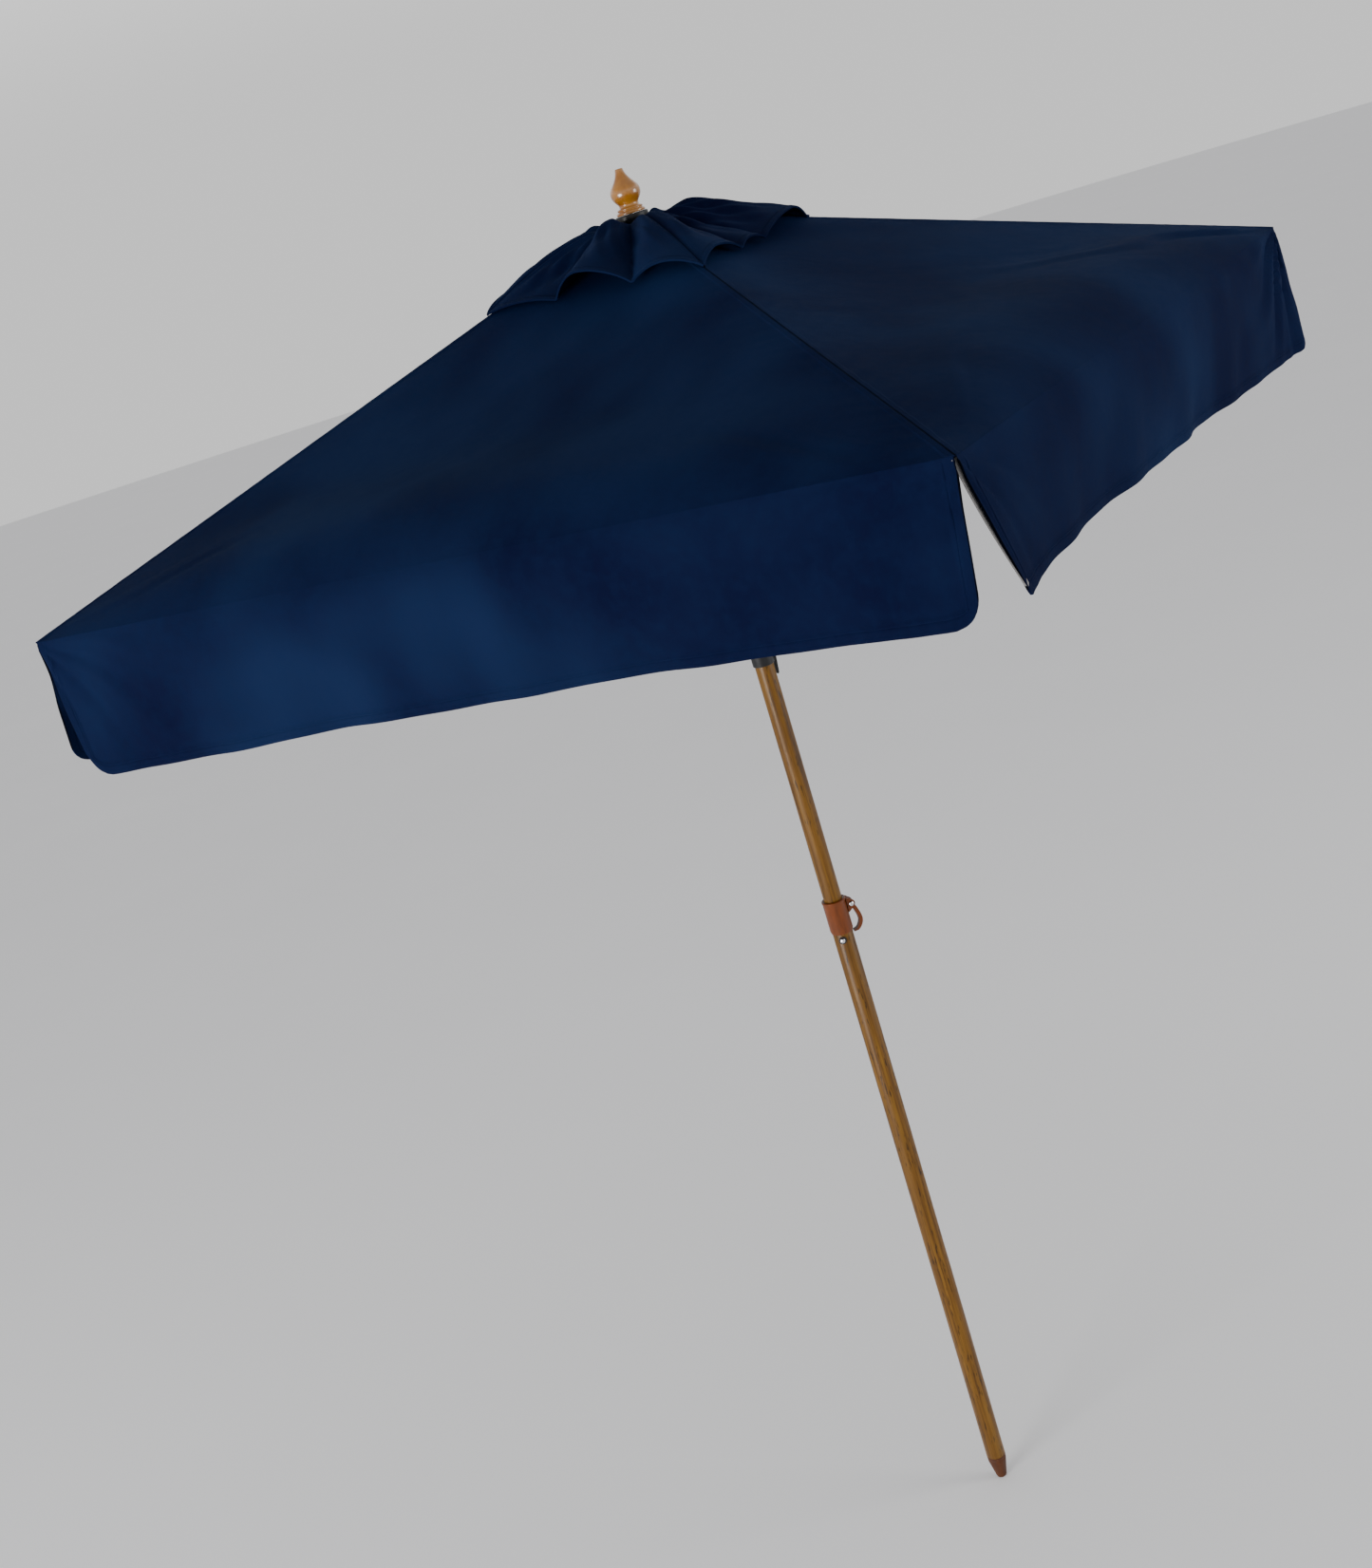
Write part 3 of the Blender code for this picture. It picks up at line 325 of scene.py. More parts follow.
@dataclass(frozen=True)
class Metal:
    """Plated steel with fine wear."""

    name: str = "bright_steel"
    colour: Colour = (0.66, 0.66, 0.68)
    worn: Colour = (0.30, 0.30, 0.32)
    roughness: float = 0.14

    def make(self) -> bpy.types.Material:
        """Returns the material."""
        graph = Graph(self.name)
        wear = graph.noise(graph.place(), 420.0, 5.0, 0.7)
        graph.set(Base_Color=graph.mix(wear.between(0.5, 0.9) * 0.3, self.colour, self.worn),
                  Metallic=1.0, Roughness=wear.between(0.4, 0.8) * 0.16 + self.roughness)
        return graph.material


@dataclass(frozen=True)
class Tape:
    """Woven tape with a twill rib."""

    name: str = "grey_webbing"
    light: Colour = (0.215, 0.205, 0.200)
    dark: Colour = (0.085, 0.080, 0.080)
    rib: float = 0.0016

    def make(self) -> bpy.types.Material:
        """Returns the material."""
        graph = Graph(self.name)
        across, along = graph.flat_place()
        turn = 2.0 * math.pi / self.rib
        twill = ((across + along) * turn).sine() * 0.5 + 0.5
        soil = graph.noise(graph.place(), 80.0, 3.0)
        colour = graph.mix(twill * 0.6, self.light, self.dark)
        graph.set(Base_Color=graph.mix(soil.between(0.4, 0.8) * 0.4, colour, self.dark), Roughness=0.9,
                  Sheen_Weight=0.2)
        graph.bump(twill, 0.0002, 0.7)
        return graph.material


class Finishes:
    """Makes each finish once."""

    def __init__(self) -> None:
        """Builds every material that the umbrella uses."""
        self.cloth = Cloth().make()
        self.pole = PrintedGrain().make()
        self.finial = Lacquered("turned_wood", (0.330, 0.135, 0.013), (0.215, 0.074, 0.006),
                                (1.0, 1.0, 0.35), 0.8, 0.26).make()
        self.rib_x = self.planed("rib_wood_x", (0.05, 1.0, 1.0))
        self.rib_y = self.planed("rib_wood_y", (1.0, 0.05, 1.0))
        self.strut = self.planed("strut_wood", (1.0, 1.0, 0.06))
        self.clamp = Moulded("red_brown_plastic", (0.128, 0.027, 0.0012), (0.086, 0.019, 0.001),
                             0.38, 0.02).make()
        self.tip = Moulded("dark_brown_plastic", (0.072, 0.019, 0.0025), (0.050, 0.013, 0.002), 0.46).make()
        self.black = Moulded("black_plastic", (0.0052, 0.0052, 0.0060), (0.0085, 0.0085, 0.0095)).make()
        self.steel = Metal().make()
        self.tape = Tape().make()

    @staticmethod
    def planed(name: str, along: Colour) -> bpy.types.Material:
        """Pale planed hardwood whose grain runs along the axis with the small share."""
        return Lacquered(name, (0.330, 0.180, 0.070), (0.190, 0.090, 0.030), along, 0.15, 0.42).make()


# ================================================================ mesh making
def link(name: str, mesh: bpy.types.Mesh, finish: bpy.types.Material) -> bpy.types.Object:
    """Puts a mesh in the scene as a piece.

    Args:
        name: the piece's name.
        mesh: its mesh.
        finish: its material.

    Returns:
        The new object.
    """
    mesh.materials.clear()
    mesh.materials.append(finish)
    made = bpy.data.objects.new(name, mesh)
    bpy.context.scene.collection.objects.link(made)
    return made


def turned(node: str, name: str, profile: Profile, finish: bpy.types.Material, closed: bool = False,
           steps: int = 96, crease: float = 35.0) -> None:
    """A solid of revolution about Z, in place of a node and riding on its body.

    Args:
        node: the node that it replaces.
        name: the piece's name.
        profile: (radius, height) points down its outer side.
        finish: its material.
        closed: whether the profile is a closed loop that never meets the axis.
        steps: divisions round it.
        crease: degrees above which an edge stays sharp.
    """
    shape = bmesh.new()
    rings = []
    for radius, height in profile:
        if radius < 1e-7:
            rings.append([shape.verts.new((0.0, 0.0, height))])
            continue
        rings.append([shape.verts.new((radius * math.cos(2 * math.pi * step / steps),
                                       radius * math.sin(2 * math.pi * step / steps), height))
                      for step in range(steps)])
    pairs = list(zip(rings, rings[1:]))
    if closed:
        pairs.append((rings[-1], rings[0]))
    for upper, lower in pairs:
        for step in range(steps):
            after = (step + 1) % steps
            corners = [upper[step % len(upper)], lower[step % len(lower)],
                       lower[after % len(lower)], upper[after % len(upper)]]
            corners = list(dict.fromkeys(corners))
            if len(corners) > 2:
                shape.faces.new(corners)
    bmesh.ops.recalc_face_normals(shape, faces=shape.faces)
    mesh = bpy.data.meshes.new(name)
    shape.to_mesh(mesh)
    shape.free()
    mesh.shade_smooth()
    mesh.set_sharp_from_angle(angle=math.radians(crease))
    stand_in(link(name, mesh, finish), node)


def stand_in(piece: bpy.types.Object, node: str) -> None:
    """Lets a piece ride on a node's body in that node's place."""
    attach(piece, body_of(node))
    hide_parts(node)


def arc(centre: tuple[float, float], radius: float, start: float, end: float, steps: int) -> Profile:
    """Points on an arc, in degrees."""
    angles = [math.radians(start + (end - start) * step / steps) for step in range(steps + 1)]
    return [(centre[0] + radius * math.cos(a), centre[1] + radius * math.sin(a)) for a in angles]


def smooth_line(points: Profile, per_span: int) -> Profile:
    """Points on a smooth curve through the given points.

    Args:
        points: the points that it passes through.
        per_span: steps between each two of them.

    Returns:
        The curve's points.
    """
    ends = [points[0], *points, points[-1]]
    line: Profile = []
    for before, start, end, after in zip(ends, ends[1:], ends[2:], ends[3:]):
        for step in range(per_span):
            t = step / per_span
            line.append(tuple(
                0.5 * (2 * b + (c - a) * t + (2 * a - 5 * b + 4 * c - d) * t * t
                       + (3 * b - a - 3 * c + d) * t ** 3)
                for a, b, c, d in zip(before, start, end, after)))
    return [*line, points[-1]]


def softened(node: str, name: str, finish: bpy.types.Material, edge: float) -> bpy.types.Object:
    """A piece with a node's own shape, its edges rounded and its round faces shaded smooth.

    Args:
        node: the node whose shape it takes and which it replaces.
        name: the piece's name.
        finish: its material.
        edge: the radius of its edges.

    Returns:
        The new piece, riding on the node's body.
    """
    shape = bmesh.new()
    shape.from_mesh(frame["nodes"][node].data)
    bmesh.ops.remove_doubles(shape, verts=shape.verts, dist=0.000005)
    bmesh.ops.dissolve_limit(shape, angle_limit=math.radians(0.5), verts=shape.verts, edges=shape.edges)
    mesh = bpy.data.meshes.new(name)
    shape.to_mesh(mesh)
    shape.free()
    piece = link(name, mesh, finish)
    mesh.shade_smooth()
    mesh.set_sharp_from_angle(angle=math.radians(30.0))
    rounding = piece.modifiers.new("edges", "BEVEL")
    rounding.width = edge
    rounding.segments = 2
    rounding.limit_method = "ANGLE"
    rounding.angle_limit = math.radians(32.0)
    rounding.harden_normals = True
    stand_in(piece, node)
    return piece


def body_of(node: str) -> str:
    """The body that a node moves with."""
    bodies = frame["record"]["behaviour"]["bodies"]
    return next(body for body, nodes in bodies.items() if node in nodes)


@dataclass
class Sheet:
    """A thin closed sheet on a grid of points.

    Attributes:
        name: the piece's name.
        points: rows x columns x 3, the sheet's middle surface.
        thickness: rows x columns.
        flat: rows x columns x 2, each point's place on the flat cloth.
        outward: 1 or -1, which way round the grid faces out.
    """

    name: str
    points: np.ndarray
    thickness: np.ndarray
    flat: np.ndarray
    outward: int = 1

    def normals(self) -> np.ndarray:
        """Works out the grid's normals.

        Returns:
            A unit vector for each point, outwards.
        """
        down = np.gradient(self.points, axis=0)
        along = np.gradient(self.points, axis=1)
        normal = np.cross(down, along) * self.outward
        return normal / np.maximum(np.linalg.norm(normal, axis=2, keepdims=True), 1e-12)

    def area(self) -> float:
        """Adds up the middle surface.

        Returns:
            Its area in square metres.
        """
        p = self.points
        first = np.cross(p[1:, :-1] - p[:-1, :-1], p[:-1, 1:] - p[:-1, :-1])
        second = np.cross(p[1:, :-1] - p[1:, 1:], p[:-1, 1:] - p[1:, 1:])
        return float((np.linalg.norm(first, axis=2) + np.linalg.norm(second, axis=2)).sum() / 2)

    def make(self, finish: bpy.types.Material) -> bpy.types.Object:
        """Builds the piece.

        Args:
            finish: its material.

        Returns:
            The new object.
        """
        rows, columns = self.thickness.shape
        half = self.normals() * self.thickness[..., None] / 2
        skins = np.concatenate([(self.points + half).reshape(-1, 3), (self.points - half).reshape(-1, 3)])
        number = np.arange(rows * columns).reshape(rows, columns)
        quads = np.stack([number[:-1, :-1], number[1:, :-1], number[1:, 1:], number[:-1, 1:]], axis=-1)
        quads = quads.reshape(-1, 4)
        if self.outward < 0:
            quads = quads[:, ::-1]
        under = quads[:, ::-1] + rows * columns
        rim = np.concatenate([number[0, :], number[1:, -1], number[-1, -2::-1], number[-2:0:-1, 0]])
        after = np.roll(rim, -1)
        wall = np.stack([rim, after, after + rows * columns, rim + rows * columns], axis=-1)
        if self.outward < 0:
            wall = wall[:, ::-1]
        faces = np.concatenate([quads, under, wall])
        mesh = bpy.data.meshes.new(self.name)
        mesh.from_pydata(skins.tolist(), [], faces.tolist())
        layer = mesh.uv_layers.new(name="cloth")
        flat = np.concatenate([self.flat.reshape(-1, 2)] * 2)
        corners = np.empty(len(mesh.loops), dtype=np.int64)
        mesh.loops.foreach_get("vertex_index", corners)
        layer.data.foreach_set("uv", flat[corners].ravel())
        mesh.shade_smooth()
        mesh.set_sharp_from_angle(angle=math.radians(50.0))
        return link(self.name, mesh, finish)


def spaced(fixed: Sequence[float], end: np.ndarray, count: int) -> np.ndarray:
    """Distances that start with fixed steps and then run evenly to an end that varies by row.

    Args:
        fixed: the first distances, the same on every row.
        end: the last distance of each row.
        count: how many even steps follow.

    Returns:
        One row of distances for each end.
    """
    share = np.linspace(0.0, 1.0, count + 1)[1:]
    start = fixed[-1]
    head = np.tile(np.array(fixed), (len(end), 1))
    return np.concatenate([head, start + share[None, :] * (end[:, None] - start)], axis=1)


# ================================================================ the canopy's layout
class Rib(Enum):
    """The four ribs and their bearings round the pole, in degrees from +X."""

    FRONT = ("front", -90.0)
    RIGHT = ("right", 0.0)
    BACK = ("back", 90.0)
    LEFT = ("left", 180.0)

    @property
    def label(self) -> str:
        """The rib's name in the frame."""
        return self.value[0]

    @property
    def turn(self) -> np.ndarray:
        """Turns a row vector from the +X rib's frame to this rib's.

        Returns:
            The matrix to multiply it by.
        """
        angle = math.radians(self.value[1])
        cos, sin = math.cos(angle), math.sin(angle)
        return np.array([[cos, sin, 0.0], [-sin, cos, 0.0], [0.0, 0.0, 1.0]])

    def neighbour(self, hand: "Hand") -> "Rib":
        """The next rib on one hand."""
        order = list(Rib)
        return order[(order.index(self) + hand.value) % len(order)]


class Hand(Enum):
    """Which half of a rib's quarter of the cloth."""

    NEXT = 1
    LAST = -1


@dataclass(frozen=True)
class Layout:
    """Sizes that every cloth piece shares, read from the frame."""

    corner: float = float(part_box("canopy_right")[1][0])
    eave_z: float = float(JOINTS["eave_hinge_right_back"]["pos_m"][2])
    drop_to_eave: float = 0.2950
    hinge_reach: float = float(JOINTS["rib_hinge_right"]["pos_m"][0])
    hinge_z: float = float(JOINTS["rib_hinge_right"]["pos_m"][2])
    fold: float = math.radians(71.198)
    eave_turn: float = math.radians(66.2245)

    @property
    def slope(self) -> float:
        """Fall of the roof for each metre of |x| + |y|."""
        return self.drop_to_eave / self.corner

    @property
    def apex_z(self) -> float:
        """Where the four roof planes meet."""
        return self.eave_z + self.drop_to_eave

    @property
    def panel_slope(self) -> float:
        """Slope of a roof panel down its middle, in radians."""
        return math.atan(self.slope * math.sqrt(2.0))

    def rib_direction(self) -> Vector:
        """Along the +X rib, outwards."""
        return Vector((1.0, 0.0, -self.slope)).normalized()

    def gather_axis(self, hand: Hand) -> Vector:
        """In the plane of a half panel, square to its rib; the cloth gathers along it."""
        normal = Vector((self.slope, hand.value * self.slope, 1.0)).normalized()
        return normal.cross(self.rib_direction()).normalized()

    def keep(self) -> float:
        """Finds how far the cloth gathers when folded.

        Returns:
            The share of its width that a half panel keeps, so that neighbours just meet.
        """
        corner = Vector((self.corner, 0.0, self.eave_z))
        middle = Vector((self.corner / 2, self.corner / 2, self.eave_z))
        axis = self.gather_axis(Hand.NEXT)
        hinge = Vector((self.hinge_reach, 0.0, self.hinge_z))
        turn = Matrix.Rotation(self.fold, 3, "Y")
        for step in range(5, 40):
            keep = step / 100.0
            point = middle - (1 - keep) * (middle - corner).dot(axis) * axis
            folded = hinge + turn @ (point - hinge)
            if folded.y >= folded.x:
                return keep
        return 0.2


LAYOUT = Layout()


@dataclass(frozen=True)
class CornerFlare:
    """How a flap hangs beside one corner.

    Attributes:
        out: how far its lower corner stands out.
        lean: how far its edge leans away from the corner, for each metre of drop.
        round: radius of its lower corner.
    """

    out: float = 0.006
    lean: float = 0.06
    round: float = 0.036


@dataclass(frozen=True)
class Lobe:
    """A slack lobe of the vent's cap between two tacks, by place across a side."""

    start: float
    peak: float
    end: float
    height: float

    def rise(self, across: np.ndarray) -> np.ndarray:
        """Height of the lobe: nothing outside it, cusps at its tacks."""
        phase = np.interp(across, [self.start, self.peak, self.end], [0.0, 0.5, 1.0], left=0.0, right=1.0)
        return self.height * np.maximum(np.sin(np.pi * phase), 0.0) ** 0.75


@dataclass(frozen=True)
class SideCut:
    """What differs from one side of the square to the next.

    Attributes:
        lobes: the vent's lobes.
        vent_reach: the vent's reach at the side's two ribs.
        drops: the flap's drop at even steps across.
    """

    lobes: tuple[Lobe, ...]
    vent_reach: tuple[float, float]
    drops: tuple[float, ...]


SIDE_CUTS = (
    SideCut((Lobe(0.0, 0.12, 0.30, 0.018), Lobe(0.30, 0.38, 0.51, 0.010), Lobe(0.51, 0.84, 0.975, 0.021)),
            (0.286, 0.246), (0.158, 0.160, 0.163, 0.172, 0.182, 0.190)),
    SideCut((Lobe(0.03, 0.15, 0.34, 0.006), Lobe(0.34, 0.50, 0.66, 0.024), Lobe(0.66, 0.85, 1.0, 0.014)),
            (0.246, 0.244), (0.190, 0.186, 0.182, 0.182, 0.184, 0.186)),
    SideCut((Lobe(0.0, 0.14, 0.31, 0.015), Lobe(0.31, 0.52, 0.70, 0.026), Lobe(0.70, 0.84, 1.0, 0.017)),
            (0.244, 0.234), (0.186, 0.182, 0.180, 0.179, 0.178, 0.177)),
    SideCut((Lobe(0.0, 0.20, 0.39, 0.008), Lobe(0.39, 0.51, 0.73, 0.030), Lobe(0.73, 0.86, 1.0, 0.018)),
            (0.234, 0.286), (0.193, 0.189, 0.178, 0.171, 0.167, 0.165)),
)


@dataclass(frozen=True)
class Relief:
    """The shape of the soft cloth away from its flat planes.

    A side runs from one rib to the next; across goes from 0 to 1 between them, and reach is |x| + |y|.
    """

    eave_softness: float = 0.65       # slope change that each side of the eave takes
    roof_bend: float = 0.330          # reach over which the roof bends down to the eave
    flap_bend: float = 0.034
    tuck: float = 0.008               # how far the hem's middle hangs in from the eave
    side_waves: tuple[float, ...] = (0.3, 2.1, 4.4, 5.6)
    corner_pull: tuple[tuple[float, float], ...] = ((0.0010, 0.0040), (0.0030, 0.0022),
                                                    (0.0020, 0.0020), (0.0012, 0.0010))

    @staticmethod
    def fullness(across: np.ndarray) -> np.ndarray:
        """1 in the middle of a side, falling to 0 at its ribs."""
        return 1.0 - np.abs(2.0 * across - 1.0) ** 3

    def roof(self, side: int, across: np.ndarray, reach: np.ndarray) -> np.ndarray:
        """How far the roof stands off its plane.

        Args:
            side: which side, 0 to 3.
            across: place between the ribs.
            reach: |x| + |y|.

        Returns:
            Distances along the plane's normal.
        """
        phase = self.side_waves[side]
        full = self.fullness(across)
        bend = np.clip((reach - (LAYOUT.corner - self.roof_bend)) / self.roof_bend, 0.0, 1.0)
        length = self.roof_bend / math.sqrt(2.0) / math.cos(LAYOUT.panel_slope)
        off = self.eave_softness * length * full * (bend ** 2 - bend ** 3)
        from_rib = np.minimum(across, 1.0 - across) * reach
        free = 1.0 - np.exp(-(from_rib / 0.05) ** 2)
        settled = np.clip((LAYOUT.corner - reach) / 0.10, 0.0, 1.0)
        swell = np.sin(7.0 * reach + 5.1 * across + phase) * 0.0024
        swell += np.sin(15.0 * reach - 9.0 * across + 2.3 * phase) * 0.0012
        off += free * settled * swell
        off -= 0.0060 * np.sin(np.pi * across) * np.sin(np.pi * np.clip(reach / LAYOUT.corner, 0, 1)) * free
        off += self.corner_creases(side, across, reach) * settled ** 0.5
        off += self.seam_puckers(side, reach, from_rib)
        return off

    def corner_creases(self, side: int, across: np.ndarray, reach: np.ndarray) -> np.ndarray:
        """Pull lines that fan out of each rib tip.

        Args:
            side: which side, 0 to 3.
            across: place between the ribs.
            reach: |x| + |y|.

        Returns:
            Distances along the plane's normal.
        """
        off = np.zeros_like(reach)
        fall = (LAYOUT.corner - reach) / math.sqrt(2.0)
        for corner, pull in zip((0.0, 1.0), self.corner_pull[side]):
            aside = np.abs(across - corner) * reach * math.sqrt(2.0)
            distance = np.hypot(aside, fall) + 1e-6
            angle = np.arctan2(fall, aside)
            bent = angle + 0.10 * np.sin(distance * 21.0 + self.side_waves[side] + corner)
            fan = np.sin(bent * 15.0 + self.side_waves[side] * (1.0 + corner)) + 0.5 * np.sin(bent * 31.0)
            strength = (distance / 0.12) * np.exp(1.0 - distance / 0.12)
            window = np.sin(np.clip(angle / (math.pi * 0.25), 0.0, 1.0) * math.pi) ** 1.2
            off += pull * fan * strength * window
        return off

    def seam_puckers(self, side: int, reach: np.ndarray, from_rib: np.ndarray) -> np.ndarray:
        """Small gathers beside the seam on each rib.

        Args:
            side: which side, 0 to 3.
            reach: |x| + |y|.
            from_rib: distance from the nearer rib.

        Returns:
            Distances along the plane's normal.
        """
        beside = (from_rib / 0.012) * np.exp(1.0 - from_rib / 0.012)
        ripple = np.sin(reach * 190.0 + 3.0 * np.sin(reach * 23.0 + self.side_waves[side]))
        return 0.00045 * beside * ripple

    def flap(self, side: int, across: np.ndarray, drop: np.ndarray, share: np.ndarray,
             flares: tuple[CornerFlare, CornerFlare]) -> np.ndarray:
        """How far a hanging flap stands out from the eave's plane.

        Args:
            side: which side, 0 to 3.
            across: place between the ribs.
            drop: metres below the eave.
            share: drop as a share of the flap's whole drop.
            flares: how it hangs at its two corners.

        Returns:
            Distances outwards.
        """
        phase = self.side_waves[side]
        rolled = self.eave_softness * self.flap_bend
        out = rolled * (1.0 - np.exp(-drop / self.flap_bend)) - (rolled + self.tuck) * share ** 1.3
        out *= self.fullness(across)
        low = share ** 1.4
        wave = np.sin(across * 17.0 + phase) + 0.55 * np.sin(across * 37.0 + 2.0 * phase)
        wave += 0.30 * np.sin(across * 71.0 + 3.1 * phase)
        out += 0.0052 * low * wave * (0.35 + 0.65 * self.fullness(across))
        length = LAYOUT.corner * math.sqrt(2.0)
        for corner, flare in zip((0.0, 1.0), flares):
            beside = np.abs(across - corner) * length
            out += flare.out * low * np.exp(-(beside / 0.10) ** 1.5)
        for corner, pull in zip((0.0, 1.0), self.corner_pull[side]):
            beside = np.abs(across - corner) * length
            away = np.hypot(beside, drop) + 1e-6
            angle = np.arctan2(drop, beside) + 0.08 * np.sin(away * 25.0 + phase)
            fan = np.sin(angle * 13.0 + phase) + 0.5 * np.sin(angle * 27.0 + 2.0 * phase)
            strength = (away / 0.08) * np.exp(1.0 - away / 0.08) * np.clip(drop / 0.01, 0.0, 1.0)
            out += 1.1 * pull * fan * strength
        return out


RELIEF = Relief()


@dataclass
class Canopy:
    """The sewn cloth: roof, vent and valance, each made in halves that run from a rib to the middle of a side."""

    cloth: bpy.types.Material
    thin: float = 0.0007
    hem: float = 0.0022
    seam_half: float = 0.0060
    seam_stitch: float = 0.0046      # seam's middle to its stitches
    vent_hole: float = 0.1440
    vent_reach: float = 0.2580
    vent_start: float = 0.0120
    vent_seat_z: float = float(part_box("canopy_disc")[0][2]) - 0.0007
    hole_hem: float = 0.0118
    vent_hem: float = 0.0106
    vent_stitch: float = 0.0092
    hem_width: float = 0.0150
    hem_stitch: float = 0.0122
    hem_steps: tuple[float, ...] = (0.0, 0.0005, 0.0020, 0.0050, 0.0090, 0.0112, 0.0122, 0.0130, 0.0140,
                                    0.0156)
    flares: dict[tuple[int, int], CornerFlare] = field(default_factory=lambda: {
        (0, 0): CornerFlare(0.026, 0.28, 0.012), (3, 1): CornerFlare(0.018, 0.04, 0.034),
        (3, 0): CornerFlare(0.018, 0.12, 0.046), (2, 1): CornerFlare(0.013, -0.02, 0.030),
        (0, 1): CornerFlare(0.012, -0.09, 0.030)})
    made: list[bpy.types.Object] = field(default_factory=list)

    def build(self) -> None:
        """Builds every piece of cloth."""
        for rib in Rib:
            for hand in Hand:
                self.made.append(self.roof_half(rib, hand))
                self.made.append(self.vent_half(rib, hand))
                self.made.append(self.flap_half(rib, hand))

    @staticmethod
    def side_of(rib: Rib, hand: Hand) -> tuple[int, bool]:
        """Finds where a half lies.

        Args:
            rib: its rib.
            hand: which half of the rib's quarter it is.

        Returns:
            Its side, 0 to 3, and whether it is at that side's start.
        """
        order = list(Rib)
        if hand is Hand.NEXT:
            return order.index(rib), True
        return (order.index(rib) - 1) % 4, False

    @staticmethod
    def across_of(share: np.ndarray, at_start: bool) -> np.ndarray:
        """Place across a side from a half's own share of its width."""
        return share / 2 if at_start else 1.0 - share / 2

    def seam_columns(self, reach: np.ndarray, count: int) -> np.ndarray:
        """Distances from the rib: fine steps over its seam, then even ones to the middle of the side.

        Args:
            reach: |x| + |y| of each row.
            count: how many even steps follow the fine ones.

        Returns:
            One row of distances for each reach.
        """
        fixed = [0.0, 0.0008, 0.0024, 0.0030, 0.0044, 0.0052, self.seam_half, self.seam_half + 0.0010,
                 0.0090, 0.0130, 0.0180]
        scale = np.clip(reach / 0.08, 0.05, 1.0)
        rows = spaced(fixed, reach / 2 / scale, count)
        return rows * scale[:, None]

    def seam_thickness(self, aside: np.ndarray) -> np.ndarray:
        """A felled seam: a doubled strip with a row of stitches sunk into each edge.

        Args:
            aside: distance from the seam's middle.

        Returns:
            The cloth's thickness.
        """
        strip = np.clip((self.seam_half + 0.0006 - aside) / 0.0008, 0.0, 1.0)
        stitch = np.exp(-((aside - self.seam_stitch) / 0.0005) ** 2)
        ditch = np.exp(-(aside / 0.0007) ** 2)
        return self.thin + strip * (self.hem - self.thin - 0.0007 * stitch - 0.0006 * ditch)

    def place_quarter(self, rib: Rib, points: np.ndarray) -> np.ndarray:
        """Turns points from the +X rib's frame to a rib's own."""
        return points @ rib.turn

    def finish_half(self, sheet: Sheet, body: str, nodes: list[str]) -> bpy.types.Object:
        """Args:
            sheet: the shaped sheet.
            body: the body it rides on.
            nodes: the solids it replaces.

        Returns:
            The new piece.
        """
        piece = sheet.make(self.cloth)
        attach(piece, body)
        if nodes:
            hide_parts(*nodes)
        area = sheet.area()
        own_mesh(piece)
        return piece

    def on_rib(self, sheet: Sheet, rib: Rib, hand: Hand, part: str) -> bpy.types.Object:
        """Finishes a half that lies on its rib; the first half of each quarter replaces the part's node.

        Args:
            sheet: the shaped sheet.
            rib: its rib.
            hand: which half it is.
            part: the part of the cloth that it belongs to.

        Returns:
            The new piece.
        """
        nodes = [f"{part}_{rib.label}"] if hand is Hand.NEXT else []
        return self.finish_half(sheet, f"rib_{rib.label}", nodes)

    def roof_half(self, rib: Rib, hand: Hand) -> bpy.types.Object:
        """Half a quarter of the roof, from the vent's hole to the eave.

        Args:
            rib: its rib.
            hand: which half it is.

        Returns:
            The new piece.
        """
        side, at_start = self.side_of(rib, hand)
        edge = self.vent_hole + np.array([0.0, 0.0006, 0.0090, 0.0098, 0.0104, 0.0116, 0.0126])
        rows = np.concatenate([edge, np.linspace(self.vent_hole + 0.02, LAYOUT.corner, 84)])
        aside = self.seam_columns(rows, 44)
        reach = np.repeat(rows[:, None], aside.shape[1], axis=1)
        share = aside / (reach / 2)
        across = self.across_of(share, at_start)
        plane = np.stack([reach - aside, hand.value * aside, LAYOUT.apex_z - LAYOUT.slope * reach], axis=-1)
        normal = np.array([LAYOUT.slope, hand.value * LAYOUT.slope, 1.0])
        normal /= np.linalg.norm(normal)
        off = RELIEF.roof(side, across, reach)
        points = self.place_quarter(rib, plane + off[..., None] * normal)
        hole_edge = np.clip((self.vent_hole + self.hole_hem - reach) / 0.0008, 0.0, 1.0)
        thickness = np.maximum(self.seam_thickness(aside), self.thin + 0.0010 * hole_edge)
        flat = np.stack([aside * 1.05, reach * 1.04], axis=-1)
        sheet = Sheet(f"roof_{rib.label}_{rib.neighbour(hand).label}", points, thickness, flat, hand.value)
        return self.on_rib(sheet, rib, hand, "canopy")

